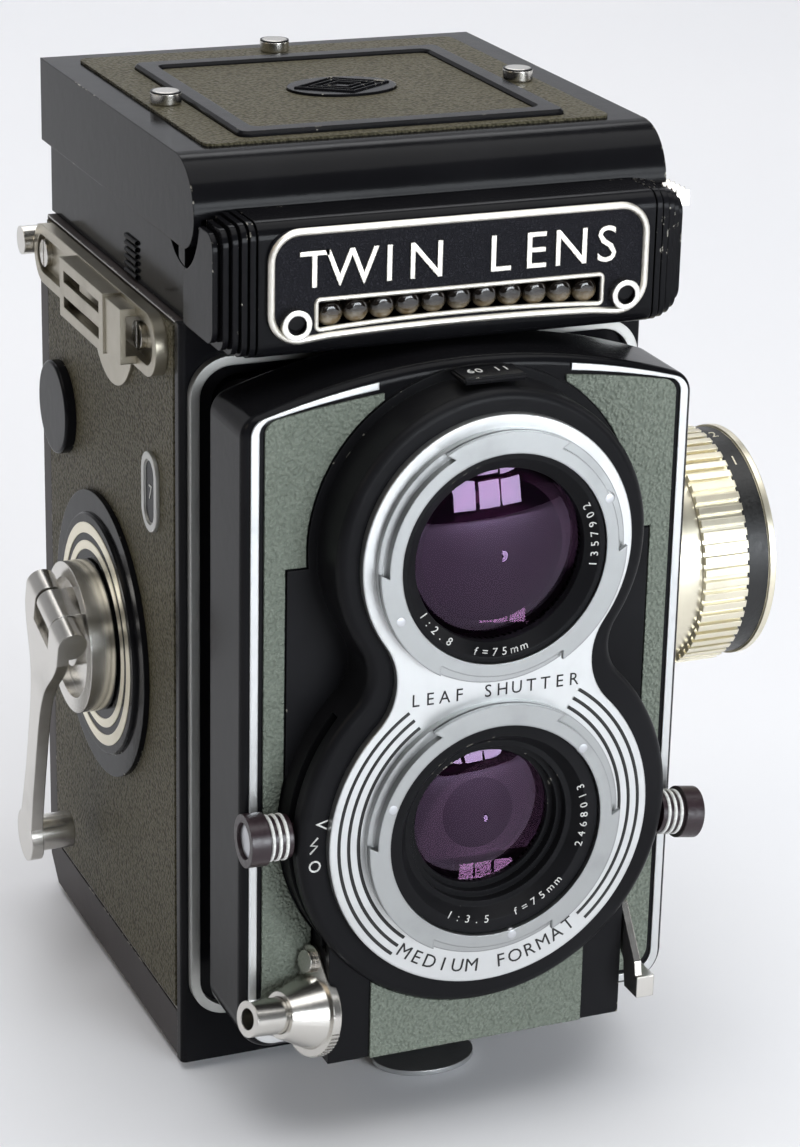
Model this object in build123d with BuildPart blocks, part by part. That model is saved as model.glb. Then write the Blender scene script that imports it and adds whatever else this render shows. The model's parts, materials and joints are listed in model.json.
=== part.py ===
"""Twin lens reflex camera, built from separate pieces in millimetres.

Frame: the origin is the mouth of the tripod socket. +Z is up, -Y is the way the
lenses look, -X is the crank side and +X is the focusing knob side.
"""

from build123d import *
import os
from math import atan2, cos, degrees, radians, sin, sqrt

# ---------------------------------------------------------------- driving sizes
body_width = 73.4          # over the two leathered sides
body_front = 33.6          # front face of the casting, in front of the tripod axis
body_rear = 37.6           # outer face of the back door, behind the tripod axis
body_top = 119.0           # top of the body shell
lens_spacing = 42.0        # viewing lens axis above taking lens axis
taking_axis = 48.9         # taking lens axis above the tripod socket
board_reach = 21.6         # lens board front ahead of the casting, focused near
focus_travel = 5.5         # from the near focus shown back to infinity
lid_top = 143.7            # top skin of the closed hood
spool_length = 65.0        # a 120 roll film spool, over its flanges
spool_flange = 12.6        # its flange radius
image_size = 56.0          # the square film gate
tripod_radius = 3.1        # 1/4 inch thread, tapping wall
tripod_depth = 5.6

# ---------------------------------------------------------------- walls and gaps
skin = 1.2                 # pressed sheet of lid, covers and door
casting_wall = 2.2
leather = 0.4
run = 0.06                 # radial running fit of a shaft
gap = 0.3                  # between pieces that move past each other
foot_height = 1.4

half = body_width / 2
leather_face = half
cover_face = half - leather
shell_face = 34.0          # outer side of the shell wall, behind the gears
shell_wall = 1.0
viewing_axis = taking_axis + lens_spacing
board_front = body_front + board_reach
ring_face = board_front + 8.8          # front of the black shutter housing
plate_face = ring_face + 1.4           # front of the bright front plate

os.makedirs("parts", exist_ok=True)
pieces = {}


def block(x, y, z, mode=Mode.ADD):
    """A box between three (low, high) pairs."""
    with Locations(((x[0] + x[1]) / 2, (y[0] + y[1]) / 2, (z[0] + z[1]) / 2)):
        Box(x[1] - x[0], y[1] - y[0], z[1] - z[0], mode=mode)


def rod_x(y, z, radius, x0, x1, mode=Mode.ADD):
    """A round bar along X."""
    with Locations(Location(((x0 + x1) / 2, y, z), (0, 90, 0))):
        Cylinder(radius, abs(x1 - x0), mode=mode)


def rod_y(x, z, radius, y0, y1, mode=Mode.ADD):
    """A round bar along Y."""
    with Locations(Location((x, (y0 + y1) / 2, z), (90, 0, 0))):
        Cylinder(radius, abs(y1 - y0), mode=mode)


def rod_z(x, y, radius, z0, z1, mode=Mode.ADD):
    """A round bar along Z."""
    with Locations((x, y, (z0 + z1) / 2)):
        Cylinder(radius, abs(z1 - z0), mode=mode)


def mirrored(low, high, side):
    """A (low, high) pair taken to the given side of X = 0."""
    return (low, high) if side > 0 else (-high, -low)


# ---------------------------------------------------------------- placement
crank_y, crank_z = 4.2, 57.7           # crank axis
tooth_size = 0.8                       # gear module
crank_teeth, spool_teeth = 68, 28
gear_distance = (crank_teeth + spool_teeth) * tooth_size / 2
take_up_y = 20.0                       # take-up spool axis, one gear distance from the crank
take_up_z = crank_z + sqrt(gear_distance ** 2 - (take_up_y - crank_y) ** 2)
supply_y, supply_z = 13.4, 15.0        # supply spool axis
knob_y, knob_z = -24.5, 72.4           # focusing knob axis
door_y, door_z = 36.0, 115.5           # back door hinge
roller_y = 29.5
roller_low, roller_high = 17.5, 80.3
roller_radius = 2.2
film_plane = 27.0
roll_radius = 8.0                      # front roll of the lid, about its hinge
lid_front = body_front + 6.0
lid_y = -lid_front + roll_radius       # lid hinge
lid_z = lid_top - roll_radius
lid_rear = 35.0
lid_low = lid_top - 13.1               # lower edge of the lid's walls
plate_bottom = 117.4                   # nameplate housing, underside
plate_height = 19.6
plate_front = body_front + 15.3
counter_y, counter_z = -19.0, 98.0     # frame counter disc
window_y, window_z = -20.7, 89.7       # its window
opening_half = 31.9                    # opening in the casting for the lens board
opening_low, opening_high = 15.5, 111.0
base_half = 35.2                       # hood base, over its side walls

# ---------------------------------------------------------------- body
with BuildPart() as front_casting:
    block((-half, half), (-body_front, casting_wall - body_front), (0, body_top))
    corners = front_casting.edges().filter_by(Axis.Z).group_by(Axis.Y)[0]
    fillet(corners, 0.9)
    with BuildSketch(Plane.XZ.offset(body_front)) as board_hole:
        with Locations((0, (opening_low + opening_high) / 2)):
            RectangleRounded(2 * opening_half, opening_high - opening_low, 4)
    extrude(amount=-casting_wall, mode=Mode.SUBTRACT)
    block(
        (-base_half, base_half),
        (-body_front, casting_wall - body_front),
        (body_top, lid_z - roll_radius - 0.8),
    )
pieces["front_casting"] = front_casting

wall_front = casting_wall - body_front
wall_rear = 33.2
floor_low, floor_high = 1.8, 3.2
knuckle_half = 25.0
with BuildPart() as body_shell:
    for side in (-1, 1):
        block(
            mirrored(shell_face - shell_wall, shell_face, side),
            (wall_front, wall_rear),
            (floor_low, body_top),
        )
        rod_x(door_y, door_z, 2.0, side * (knuckle_half + gap), side * (shell_face - 0.2))
        block(
            mirrored(knuckle_half + gap, shell_face - 0.2, side),
            (wall_rear - 1.8, door_y),
            (door_z, door_z + 2),
        )
    block((-shell_face, shell_face), (wall_front, wall_rear), (body_top - skin, body_top))
    block((-29, 29), (-29, 27), (body_top - skin, body_top), Mode.SUBTRACT)
    block((-shell_face, shell_face), (wall_front, 7), (floor_low, floor_high))
    block((-shell_face, shell_face), (wall_rear - 1.8, wall_rear), (111, body_top))
    rod_z(0, 0, 6.8, floor_low - 0.5, floor_high + 1, Mode.SUBTRACT)
    rod_x(door_y, door_z, 1.1 + run, -half, half, Mode.SUBTRACT)
    rod_x(crank_y, crank_z, 4.0 + run, -half, 0, Mode.SUBTRACT)
    rod_x(take_up_y, take_up_z, 2.8 + run, -half, 0, Mode.SUBTRACT)
    rod_x(counter_y, counter_z, 1.5 + run, -half, 0, Mode.SUBTRACT)
    rod_x(supply_y, supply_z, 2.8, gap - spool_length / 2 + 2.0, -shell_face)
    rod_x(knob_y, knob_z, 3.0 + run, 0, half, Mode.SUBTRACT)
    for y, z in ((take_up_y, take_up_z), (supply_y, supply_z)):
        rod_x(y, z, 2.0 + run, 0, half, Mode.SUBTRACT)
    for z in (roller_low, roller_high):
        rod_x(roller_y, z, 0.8 + run, -half, half, Mode.SUBTRACT)
pieces["body_shell"] = body_shell

cover_low, cover_high = 7.8, 118.8
with BuildPart() as side_covers:
    for side in (-1, 1):
        block(
            mirrored(shell_face, cover_face, side),
            (wall_front + 0.2, wall_rear),
            (cover_low, cover_high),
        )
        block(
            mirrored(shell_face - 1, shell_face + skin, side),
            (wall_front + 1.2, wall_rear - 1),
            (cover_low + 1, cover_high - 1),
            Mode.SUBTRACT,
        )
    rod_x(crank_y, crank_z, 4.0 + run, -half, 0, Mode.SUBTRACT)
    block(
        (-half, -shell_face),
        (window_y - 2.6, window_y + 2.6),
        (window_z - 5, window_z + 5),
        Mode.SUBTRACT,
    )
    rod_x(knob_y, knob_z, 3.0 + run, 0, half, Mode.SUBTRACT)
    for y, z in ((take_up_y, take_up_z), (supply_y, supply_z)):
        rod_x(y, z, 2.0 + run, 0, half, Mode.SUBTRACT)
pieces["side_covers"] = side_covers

leather_margin = 0.7
with BuildPart() as side_leathers:
    for side in (-1, 1):
        block(
            mirrored(cover_face, leather_face, side),
            (wall_front + 0.2 + leather_margin, wall_rear - leather_margin),
            (cover_low + leather_margin, cover_high - leather_margin),
        )
    rod_x(crank_y, crank_z, 6.0, -half, 0, Mode.SUBTRACT)
    block(
        (-half, -shell_face),
        (window_y - 2.6, window_y + 2.6),
        (window_z - 5, window_z + 5),
        Mode.SUBTRACT,
    )
    rod_x(knob_y, knob_z, 4.0, 0, half, Mode.SUBTRACT)
    for y, z in ((take_up_y, take_up_z), (supply_y, supply_z)):
        rod_x(y, z, 4.0, 0, half, Mode.SUBTRACT)
pieces["side_leathers"] = side_leathers

# A bright frame on the casting, round the lens board.
trim_half = 35.6
trim_width = 1.4
trim_low, trim_high = 8.4, 114.2
with BuildPart() as front_trim:
    with BuildSketch(Plane.XZ.offset(body_front)) as trim_ring:
        with Locations((0, (trim_low + trim_high) / 2)):
            RectangleRounded(2 * trim_half, trim_high - trim_low, 6)
            RectangleRounded(
                2 * (trim_half - trim_width),
                trim_high - trim_low - 2 * trim_width,
                4.8,
                mode=Mode.SUBTRACT,
            )
    extrude(amount=1.5)
pieces["front_trim"] = front_trim

with BuildPart() as tripod_socket:
    rod_z(0, 0, 6.8, 0, floor_high + 4.2)
    rod_z(0, 0, 9.5, floor_high, floor_high + 1.2)
    rod_z(0, 0, tripod_radius, 0, tripod_depth, Mode.SUBTRACT)
pieces["tripod_socket"] = tripod_socket

with BuildPart() as door_pin:
    rod_x(door_y, door_z, 1.1, -half - 0.4, half + 0.4)
    for side in (-1, 1):
        rod_x(door_y, door_z - 1.4, 2.3, side * (half + 0.1), side * (half + 3.4))
pieces["door_pin"] = door_pin

# ---------------------------------------------------------------- inside the body
cone_front, cone_front_half = 30.8, 13.0
cone_rear_half = image_size / 2
with BuildPart() as light_cone:
    with BuildSketch(Plane.XZ.offset(cone_front)):
        with Locations((0, taking_axis)):
            Rectangle(2 * (cone_front_half + skin), 2 * (cone_front_half + skin))
    with BuildSketch(Plane.XZ.offset(-film_plane)):
        with Locations((0, taking_axis)):
            Rectangle(2 * (cone_rear_half + skin), 2 * (cone_rear_half + skin))
    loft()
    with BuildSketch(Plane.XZ.offset(cone_front)):
        with Locations((0, taking_axis)):
            Rectangle(2 * cone_front_half, 2 * cone_front_half)
    with BuildSketch(Plane.XZ.offset(-film_plane)):
        with Locations((0, taking_axis)):
            Rectangle(2 * cone_rear_half, 2 * cone_rear_half)
    loft(mode=Mode.SUBTRACT)
    with BuildSketch(Plane.XZ.offset(-film_plane)):
        with Locations((0, taking_axis)):
            Rectangle(2 * (shell_face - shell_wall), 2 * (cone_rear_half + skin))
            Rectangle(2 * cone_rear_half, 2 * cone_rear_half, mode=Mode.SUBTRACT)
    extrude(amount=1.5)
pieces["light_cone"] = light_cone

mirror_half = 26.0
mirror_plane = Plane(origin=(0, 0, 91.0), x_dir=(1, 0, 0), z_dir=(0, -1, 1))
with BuildPart() as mirror:
    with BuildSketch(mirror_plane):
        Rectangle(2 * mirror_half, 62)
    extrude(amount=-1.2)
pieces["mirror"] = mirror

with BuildPart() as ground_glass:
    block((-30.5, 30.5), (-30, 28.5), (body_top, body_top + 1.6))
pieces["ground_glass"] = ground_glass

for name, z in (("lower_roller", roller_low), ("upper_roller", roller_high)):
    with BuildPart() as roller:
        rod_x(roller_y, z, roller_radius, -30.2, 30.2)
        rod_x(roller_y, z, 0.8, -shell_face + 0.2, shell_face - 0.2)
    pieces[name] = roller


def spool(y, z):
    """A roll film spool: a slim core between two flanges, keyed at both ends."""
    with BuildPart() as made:
        rod_x(y, z, 5.5, -spool_length / 2, spool_length / 2)
        for side in (-1, 1):
            rod_x(y, z, spool_flange, side * (spool_length / 2 - 1.4), side * spool_length / 2)
        rod_x(y, z, 2.9, -spool_length / 2, spool_length / 2, Mode.SUBTRACT)
    return made


pieces["take_up_spool"] = spool(take_up_y, take_up_z)
pieces["supply_spool"] = spool(supply_y, supply_z)

# ---------------------------------------------------------------- film transport
gear_x0, gear_x1 = shell_face + 0.25, shell_face + 1.0


def gear_outline(teeth, phase):
    """Points of a spur gear with plain sloping teeth and running backlash."""
    pitch_radius = teeth * tooth_size / 2
    step = 360 / teeth
    points = []
    for tooth in range(teeth):
        middle = phase + tooth * step
        for turn, radius in ((-0.30, -0.95), (-0.12, 0.62), (0.12, 0.62), (0.30, -0.95)):
            angle = radians(middle + turn * step)
            points.append(((pitch_radius + radius) * cos(angle), (pitch_radius + radius) * sin(angle)))
    return points


mesh_angle = degrees(atan2(take_up_z - crank_z, take_up_y - crank_y))

hub_radius = 12.1
hub_face = half + 5.9
fold_y, fold_z, fold_x = crank_y - 3.0, crank_z + 5.4, -(hub_face + 2.8)
fold_tilt = 16.0
fold_axis = (0, cos(radians(fold_tilt)), sin(radians(fold_tilt)))
arm_plane = Plane(origin=(fold_x, fold_y, fold_z), x_dir=fold_axis, z_dir=(-1, 0, 0))
with BuildPart() as crank_hub:
    rod_x(crank_y, crank_z, 4.0, -shell_face + shell_wall, -hub_face + 1)
    rod_x(crank_y, crank_z, hub_radius, -half - 1.8, -hub_face)
    rod_x(crank_y, crank_z, hub_radius - 2.4, -hub_face + 1.6, -hub_face, Mode.SUBTRACT)
    rod_x(crank_y, crank_z, 4.6, -hub_face + 1.6, -hub_face)
    with BuildSketch(Plane.YZ.offset(-gear_x0)):
        with Locations((crank_y, crank_z)):
            Polygon(*gear_outline(crank_teeth, mesh_angle), align=None)
    extrude(amount=gear_x0 - gear_x1)
    with BuildSketch(arm_plane.offset(-2.8 - 1.6)):
        Rectangle(7.2, 4.4)
    extrude(amount=2.8 + 1.6)
    with BuildSketch(Plane(origin=arm_plane.origin, x_dir=(1, 0, 0), z_dir=fold_axis)):
        Circle(2.2)
    extrude(amount=3.6, both=True)
    with BuildSketch(Plane(origin=arm_plane.origin, x_dir=(1, 0, 0), z_dir=fold_axis)):
        Circle(1.2 + run)
    extrude(amount=9, both=True, mode=Mode.SUBTRACT)
pieces["crank_hub"] = crank_hub

arm_length = 45.0
with BuildPart() as crank_arm:
    with BuildSketch(arm_plane.offset(0.4)) as arm_outline:
        with BuildLine():
            Polyline((-8.8, 0), (8.8, 0), (8.8, 3.5))
            Spline((8.8, 3.5), (4.0, 12), (2.3, 24), (3.2, arm_length), tangents=((-0.3, 1), (0.1, 1)))
            Line((3.2, arm_length), (-3.2, arm_length))
            Spline(
                (-3.2, arm_length),
                (-2.3, 24),
                (-4.0, 12),
                (-8.8, 3.5),
                tangents=((0.1, -1), (-0.3, -1)),
            )
            Line((-8.8, 3.5), (-8.8, 0))
        make_face()
        with Locations((0, arm_length)):
            Circle(4.3)
        with Locations((0, 0)):
            Rectangle(8.0, 7.0, mode=Mode.SUBTRACT)
    extrude(amount=2.0)
    with BuildSketch(Plane(origin=arm_plane.origin, x_dir=(1, 0, 0), z_dir=fold_axis)):
        Circle(2.4)
    extrude(amount=8.8, both=True)
    with BuildSketch(Plane(origin=arm_plane.origin, x_dir=(1, 0, 0), z_dir=fold_axis)):
        Circle(2.6)
    extrude(amount=4.0, both=True, mode=Mode.SUBTRACT)
    with BuildSketch(Plane(origin=arm_plane.origin, x_dir=(1, 0, 0), z_dir=fold_axis)):
        Circle(1.2)
    extrude(amount=8.8, both=True)
    with BuildSketch(arm_plane.offset(-4)):
        with Locations((0, arm_length)):
            Circle(1.4)
    extrude(amount=5)
pieces["crank_arm"] = crank_arm

with BuildPart() as crank_handle:
    with BuildSketch(arm_plane.offset(0.1)):
        with Locations((0, arm_length)):
            Circle(3.0)
            Circle(1.4 + run, mode=Mode.SUBTRACT)
    extrude(amount=-5.4)
pieces["crank_handle"] = crank_handle

with BuildPart() as take_up_gear:
    with BuildSketch(Plane.YZ.offset(-gear_x0)):
        with Locations((take_up_y, take_up_z)):
            Polygon(*gear_outline(spool_teeth, 180 + mesh_angle + 180 / spool_teeth), align=None)
    extrude(amount=gear_x0 - gear_x1)
    rod_x(take_up_y, take_up_z, 2.8, -gear_x0, -spool_length / 2 + 2)
pieces["take_up_gear"] = take_up_gear

with BuildPart() as counter_disc:
    rod_x(counter_y, counter_z, 10.2, -gear_x0, -gear_x1)
    rod_x(counter_y, counter_z, 1.5, -shell_face + shell_wall + 0.1, -gear_x0)
pieces["counter_disc"] = counter_disc

# ---------------------------------------------------------------- crank side fittings
dial_radius = 23.0
with BuildPart() as crank_dial:
    rod_x(crank_y, crank_z, dial_radius, -half, -half - 0.9)
    rod_x(crank_y, crank_z, 19.5, -half, -half - 1.5)
    chamfer(crank_dial.edges().group_by(Axis.X)[0], 0.3)
    rod_x(crank_y, crank_z, 4.6, -half - 2, -half + 1, Mode.SUBTRACT)
pieces["crank_dial"] = crank_dial

with BuildPart() as counter_window:
    with BuildSketch(Plane.YZ.offset(-half)):
        with Locations((window_y, window_z)):
            SlotOverall(12.4, 7.0, rotation=90)
            SlotOverall(10.2, 4.8, rotation=90, mode=Mode.SUBTRACT)
    extrude(amount=-0.6)
    with BuildSketch(Plane.YZ.offset(-half)):
        with Locations((window_y, window_z)):
            SlotOverall(10.2, 4.8, rotation=90)
    extrude(amount=-0.25)
pieces["counter_window"] = counter_window

cap_y, cap_z = 25.4, 89.0
with BuildPart() as side_port_cap:
    rod_x(cap_y, cap_z, 7.6, -half, -half - 1.8)
    fillet(side_port_cap.edges().group_by(Axis.X)[0], 0.5)
pieces["side_port_cap"] = side_port_cap

lug_y, lug_z = 2.5, 113.6
lug_length, lug_height, lug_thick = 62.0, 9.6, 1.9
with BuildPart() as strap_lugs:
    for side in (-1, 1):
        with BuildSketch(Plane.YZ.offset(side * half)):
            with Locations((lug_y, lug_z)):
                SlotOverall(lug_length, lug_height)
        extrude(amount=side * lug_thick)
        with BuildSketch(Plane.YZ.offset(side * (half + lug_thick))):
            with Locations((lug_y, lug_z)):
                SlotOverall(lug_length - 3.4, lug_height - 3.4)
        extrude(amount=-side * 1.2, mode=Mode.SUBTRACT)
pieces["strap_lugs"] = strap_lugs

with BuildPart() as lug_screws:
    for side in (-1, 1):
        for y in (lug_y - 21.5, lug_y + 26.5):
            x0 = half + lug_thick - 1.2
            rod_x(y, lug_z, 2.2, side * x0, side * (x0 + 1.0))
            block(
                mirrored(x0 + 0.6, x0 + 1.1, side),
                (y - 0.3, y + 0.3),
                (lug_z - 2.3, lug_z + 2.3),
                Mode.SUBTRACT,
            )
pieces["lug_screws"] = lug_screws

clip_y = -1.0
clip_reach = 2.8
with BuildPart() as strap_clips:
    for side in (-1, 1):
        inner = half + lug_thick
        block(
            mirrored(inner, inner + clip_reach, side),
            (clip_y - 11, clip_y + 11),
            (lug_z - 4.6, lug_z + 4.6),
        )
        block(
            mirrored(inner, inner + clip_reach - 0.9, side),
            (clip_y - 12, clip_y + 9.8),
            (lug_z - 3.7, lug_z + 3.7),
            Mode.SUBTRACT,
        )
        for z in (lug_z - 2.0, lug_z + 2.0):
            block(
                mirrored(inner + 1, inner + clip_reach + 1, side),
                (clip_y - 9, clip_y + 9),
                (z - 0.9, z + 0.9),
                Mode.SUBTRACT,
            )
        block(
            mirrored(inner, inner + clip_reach - 0.3, side),
            (clip_y - 18.5, clip_y - 11),
            (lug_z - 4.2, lug_z - 3.0),
        )
        block(
            mirrored(inner, inner + clip_reach - 0.3, side),
            (clip_y - 18.5, clip_y - 11),
            (lug_z + 3.0, lug_z + 4.2),
        )
        block(
            mirrored(inner + 1.6, inner + clip_reach - 0.3, side),
            (clip_y - 18.5, clip_y - 11),
            (lug_z - 4.2, lug_z + 4.2),
        )
pieces["strap_clips"] = strap_clips

with BuildPart() as wear_plates:
    for side in (-1, 1):
        rod_x(clip_y - 2, 111.8, 10.4, side * half, side * (half + 0.5))
        with BuildSketch(Plane.YZ.offset(side * half)):
            with Locations((lug_y, lug_z)):
                SlotOverall(lug_length, lug_height)
        extrude(amount=side * lug_thick, mode=Mode.SUBTRACT)
        block(mirrored(half - 1, half + 3, side), (-40, 40), (lug_z, lug_z + 12), Mode.SUBTRACT)
pieces["wear_plates"] = wear_plates

# ---------------------------------------------------------------- focusing knob side
with BuildPart() as focus_dial:
    rod_x(knob_y, knob_z, 8.8, half, half + 1.9)
    rod_x(knob_y, knob_z, 3.0 + run, 0, half + 3, Mode.SUBTRACT)
pieces["focus_dial"] = focus_dial

knob_face = half + 20.8
knob_radius = 18.0
rib_count = 60
with BuildPart() as focus_knob:
    rod_x(knob_y, knob_z, 3.0, shell_face - shell_wall, half + 4)
    rod_x(knob_y, knob_z, knob_radius - 0.3, half + 2.2, half + 8.4)
    rod_x(knob_y, knob_z, knob_radius, half + 8.4, half + 15.9)
    with BuildSketch(Plane.YZ.offset(half + 8.4)):
        with Locations((knob_y, knob_z)):
            with PolarLocations(knob_radius + 0.25, rib_count):
                Rectangle(1.1, 1.15)
    extrude(amount=7.5)
    rod_x(knob_y, knob_z, knob_radius, half + 15.9, half + 19.8)
    rod_x(knob_y, knob_z, knob_radius + 0.4, half + 19.8, knob_face)
    rod_x(knob_y, knob_z, knob_radius - 1.9, knob_face - 0.8, knob_face, Mode.SUBTRACT)
pieces["focus_knob"] = focus_knob


def pull_knob(y, z):
    """A spool knob: a milled head on a spindle that enters the spool's end."""
    with BuildPart() as made:
        rod_x(y, z, 6.6, half + gap, half + 4.2)
        rod_x(y, z, 4.4, half + 3.4, half + 4.2, Mode.SUBTRACT)
        rod_x(y, z, 2.0, spool_length / 2 - 2, half + 1)
    return made


pieces["upper_spool_knob"] = pull_knob(take_up_y, take_up_z)
pieces["lower_spool_knob"] = pull_knob(supply_y, supply_z)

# ---------------------------------------------------------------- lens board
board_half = 34.8
board_low = 12.5
shoulder = 110.6
arch_top = 116.9
board_step = 0.6
board_back = body_front + focus_travel + 1.8 + board_step    # rear edge of the wide front box


def board_outline(inset):
    """The board's face: upright sides, an arched top and rounded lower corners."""
    with BuildSketch() as made:
        with BuildLine():
            Line((board_half - inset, board_low + inset), (board_half - inset, shoulder))
            ThreePointArc(
                (board_half - inset, shoulder), (0, arch_top - inset), (inset - board_half, shoulder),
            )
            Line((inset - board_half, shoulder), (inset - board_half, board_low + inset))
            Line((inset - board_half, board_low + inset), (board_half - inset, board_low + inset))
        make_face()
        fillet(made.vertices().group_by(Axis.Y)[0], 5.2 - min(inset, 2) * 0.8)
        fillet(made.vertices().group_by(Axis.Y)[-1], 3.4 - min(inset, 2) * 0.6)
    return made.sketch


skirt_half = opening_half - 0.4
with BuildPart() as lens_board:
    with BuildSketch(Plane.XZ.offset(board_back)):
        add(board_outline(0))
    extrude(amount=board_front - board_back)
    fillet(lens_board.edges().group_by(Axis.Y)[0], 1.6)
    with BuildSketch(Plane.XZ.offset(board_back - board_step)):
        add(board_outline(0.9))
    extrude(amount=board_step)
    with BuildSketch(Plane.XZ.offset(board_back - board_step)):
        add(board_outline(3.4))
    extrude(amount=board_front - board_back + board_step - 2.0, mode=Mode.SUBTRACT)
    with BuildSketch(Plane.XZ.offset(body_front - 6)):
        with Locations((0, (opening_low + opening_high) / 2)):
            RectangleRounded(2 * skirt_half, opening_high - opening_low - 0.8, 3.6)
            RectangleRounded(
                2 * (skirt_half - skin),
                opening_high - opening_low - 0.8 - 2 * skin,
                2.4,
                mode=Mode.SUBTRACT,
            )
    extrude(amount=board_front - body_front + 6 - 1)
    for z, radius in ((viewing_axis, 15.7), (taking_axis, 22.4)):
        rod_y(0, z, radius, -board_front - 1, -body_front, Mode.SUBTRACT)
pieces["lens_board"] = lens_board

# ---------------------------------------------------------------- shutter housing
housing_top, housing_low = 23.8, 29.2      # radii round the two lens axes
plate_top, plate_low = 20.7, 25.1
block_half = 23.7
flange_thick = 0.5


def figure_eight(upper, lower, throat):
    """Two circles on the lens axes joined by a throat of the given radius."""
    reach_low, reach_up = lower + throat, upper + throat
    rise = (lens_spacing ** 2 + reach_low ** 2 - reach_up ** 2) / (2 * lens_spacing)
    across = sqrt(reach_low ** 2 - rise ** 2)
    with BuildSketch() as made:
        with Locations((0, viewing_axis)):
            Circle(upper)
        with Locations((0, taking_axis)):
            Circle(lower)
        Polygon(
            (0, viewing_axis),
            (across, taking_axis + rise),
            (0, taking_axis),
            (-across, taking_axis + rise),
            align=None,
        )
        with Locations((across, taking_axis + rise), (-across, taking_axis + rise)):
            Circle(throat, mode=Mode.SUBTRACT)
    return made.sketch


def flange_outline(extra):
    """The foot of the shutter housing on the board."""
    with BuildSketch() as made:
        with Locations((0, viewing_axis)):
            Circle(25.2 + extra)
        with Locations((0, taking_axis)):
            Circle(housing_low + extra)
        with Locations((0, (taking_axis + 88.4 + extra) / 2)):
            Rectangle(2 * (28.3 + extra), 88.4 + extra - taking_axis)
        with Locations((0, (taking_axis + board_low) / 2)):
            Rectangle(2 * (block_half + extra), taking_axis - board_low)
    return made.sketch


block_front = board_front + 7.1
lever_y = board_front + 4.9
slot_inner = 25.6
with BuildPart() as shutter_housing:
    with BuildSketch(Plane.XZ.offset(board_front)):
        add(flange_outline(0))
    extrude(amount=flange_thick)
    with BuildSketch(Plane.XZ.offset(board_front)):
        add(figure_eight(housing_top, housing_low, 7.0))
    extrude(amount=ring_face - board_front)
    fillet(shutter_housing.edges().group_by(Axis.Y)[0], 1.4)
    block((-block_half, block_half), (-block_front, -board_front), (board_low, taking_axis))
    for z, radius in ((viewing_axis, 15.7), (taking_axis, 16.6)):
        rod_y(0, z, radius, -ring_face - 1, -board_front + 1, Mode.SUBTRACT)
    rod_y(0, taking_axis, 22.4, -board_front - 6.2, -board_front + 1, Mode.SUBTRACT)
    with BuildSketch(Plane.XZ.offset(lever_y - 1.0)):
        with Locations((0, taking_axis)):
            Circle(housing_low + 1)
            Circle(slot_inner, mode=Mode.SUBTRACT)
            Rectangle(80, 2 * (slot_inner - 7), mode=Mode.INTERSECT)
    extrude(amount=2.0, mode=Mode.SUBTRACT)
pieces["shutter_housing"] = shutter_housing

with BuildPart() as front_plate:
    with BuildSketch(Plane.XZ.offset(ring_face)):
        add(figure_eight(plate_top, plate_low, 10.0))
    extrude(amount=plate_face - ring_face)
    for z, radius in ((viewing_axis, 15.7), (taking_axis, 16.6)):
        rod_y(0, z, radius, -plate_face - 1, -ring_face + 1, Mode.SUBTRACT)
    fillet(
        front_plate.edges().filter_by(GeomType.CIRCLE).group_by(Axis.Y)[0].sort_by(SortBy.RADIUS)[:1],
        0.2,
    )
pieces["front_plate"] = front_plate


def bayonet(z, inner, outer):
    """A bayonet ring: a stepped collar with three wide lugs."""
    with BuildPart() as made:
        rod_y(0, z, outer, -plate_face - 1.0, -plate_face)
        rod_y(0, z, outer - 1.3, -plate_face - 2.2, -plate_face)
        with BuildSketch(Plane.XZ.offset(plate_face + 1.5)):
            with Locations((0, z)):
                Circle(outer)
                Circle(outer - 1.6, mode=Mode.SUBTRACT)
                with PolarLocations(outer, 3, start_angle=30):
                    Rectangle(8, 19, mode=Mode.SUBTRACT)
        extrude(amount=0.7)
        rod_y(0, z, inner, -plate_face - 3, -plate_face + 1, Mode.SUBTRACT)
    return made.part


with BuildPart() as lens_bayonets:
    add(bayonet(viewing_axis, 15.7, 18.9))
    add(bayonet(taking_axis, 16.6, 19.8))
pieces["lens_bayonets"] = lens_bayonets

with BuildPart() as lens_barrels:
    with BuildSketch(Plane.YZ) as viewing_profile:
        with BuildLine():
            Polyline(
                (-plate_face - 1.8, viewing_axis + 15.6),
                (-board_front + 12, viewing_axis + 15.6),
                (-board_front + 12, viewing_axis + 13.0),
                (-plate_face - 0.2, viewing_axis + 13.0),
                (-plate_face - 1.8, viewing_axis + 14.8),
                close=True,
            )
        make_face()
    revolve(axis=Axis((0, 0, viewing_axis), (0, 1, 0)))
    with BuildSketch(Plane.YZ) as taking_profile:
        with BuildLine():
            Polyline(
                (-plate_face - 1.4, taking_axis + 16.5),
                (-board_front - 4.2, taking_axis + 16.5),
                (-board_front - 4.2, taking_axis + 10.6),
                (-plate_face + 3.4, taking_axis + 10.6),
                (-plate_face + 3.4, taking_axis + 11.4),
                (-plate_face + 2.0, taking_axis + 11.4),
                (-plate_face + 2.0, taking_axis + 12.3),
                (-plate_face + 0.6, taking_axis + 12.3),
                (-plate_face + 0.6, taking_axis + 13.2),
                (-plate_face - 1.4, taking_axis + 14.6),
                close=True,
            )
        make_face()
    revolve(axis=Axis((0, 0, taking_axis), (0, 1, 0)))
    rod_y(0, taking_axis, 16.5, -board_front - 1.6, -board_front + 6)
    rod_y(0, taking_axis, 10.6, -board_front - 2, -board_front + 7, Mode.SUBTRACT)
pieces["lens_barrels"] = lens_barrels


def sag(radius, bulge):
    """How far a curved face stands out at half its radius."""
    sphere = (radius ** 2 + bulge ** 2) / (2 * bulge)
    return bulge - sphere + sqrt(sphere ** 2 - radius ** 2 / 4)


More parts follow.
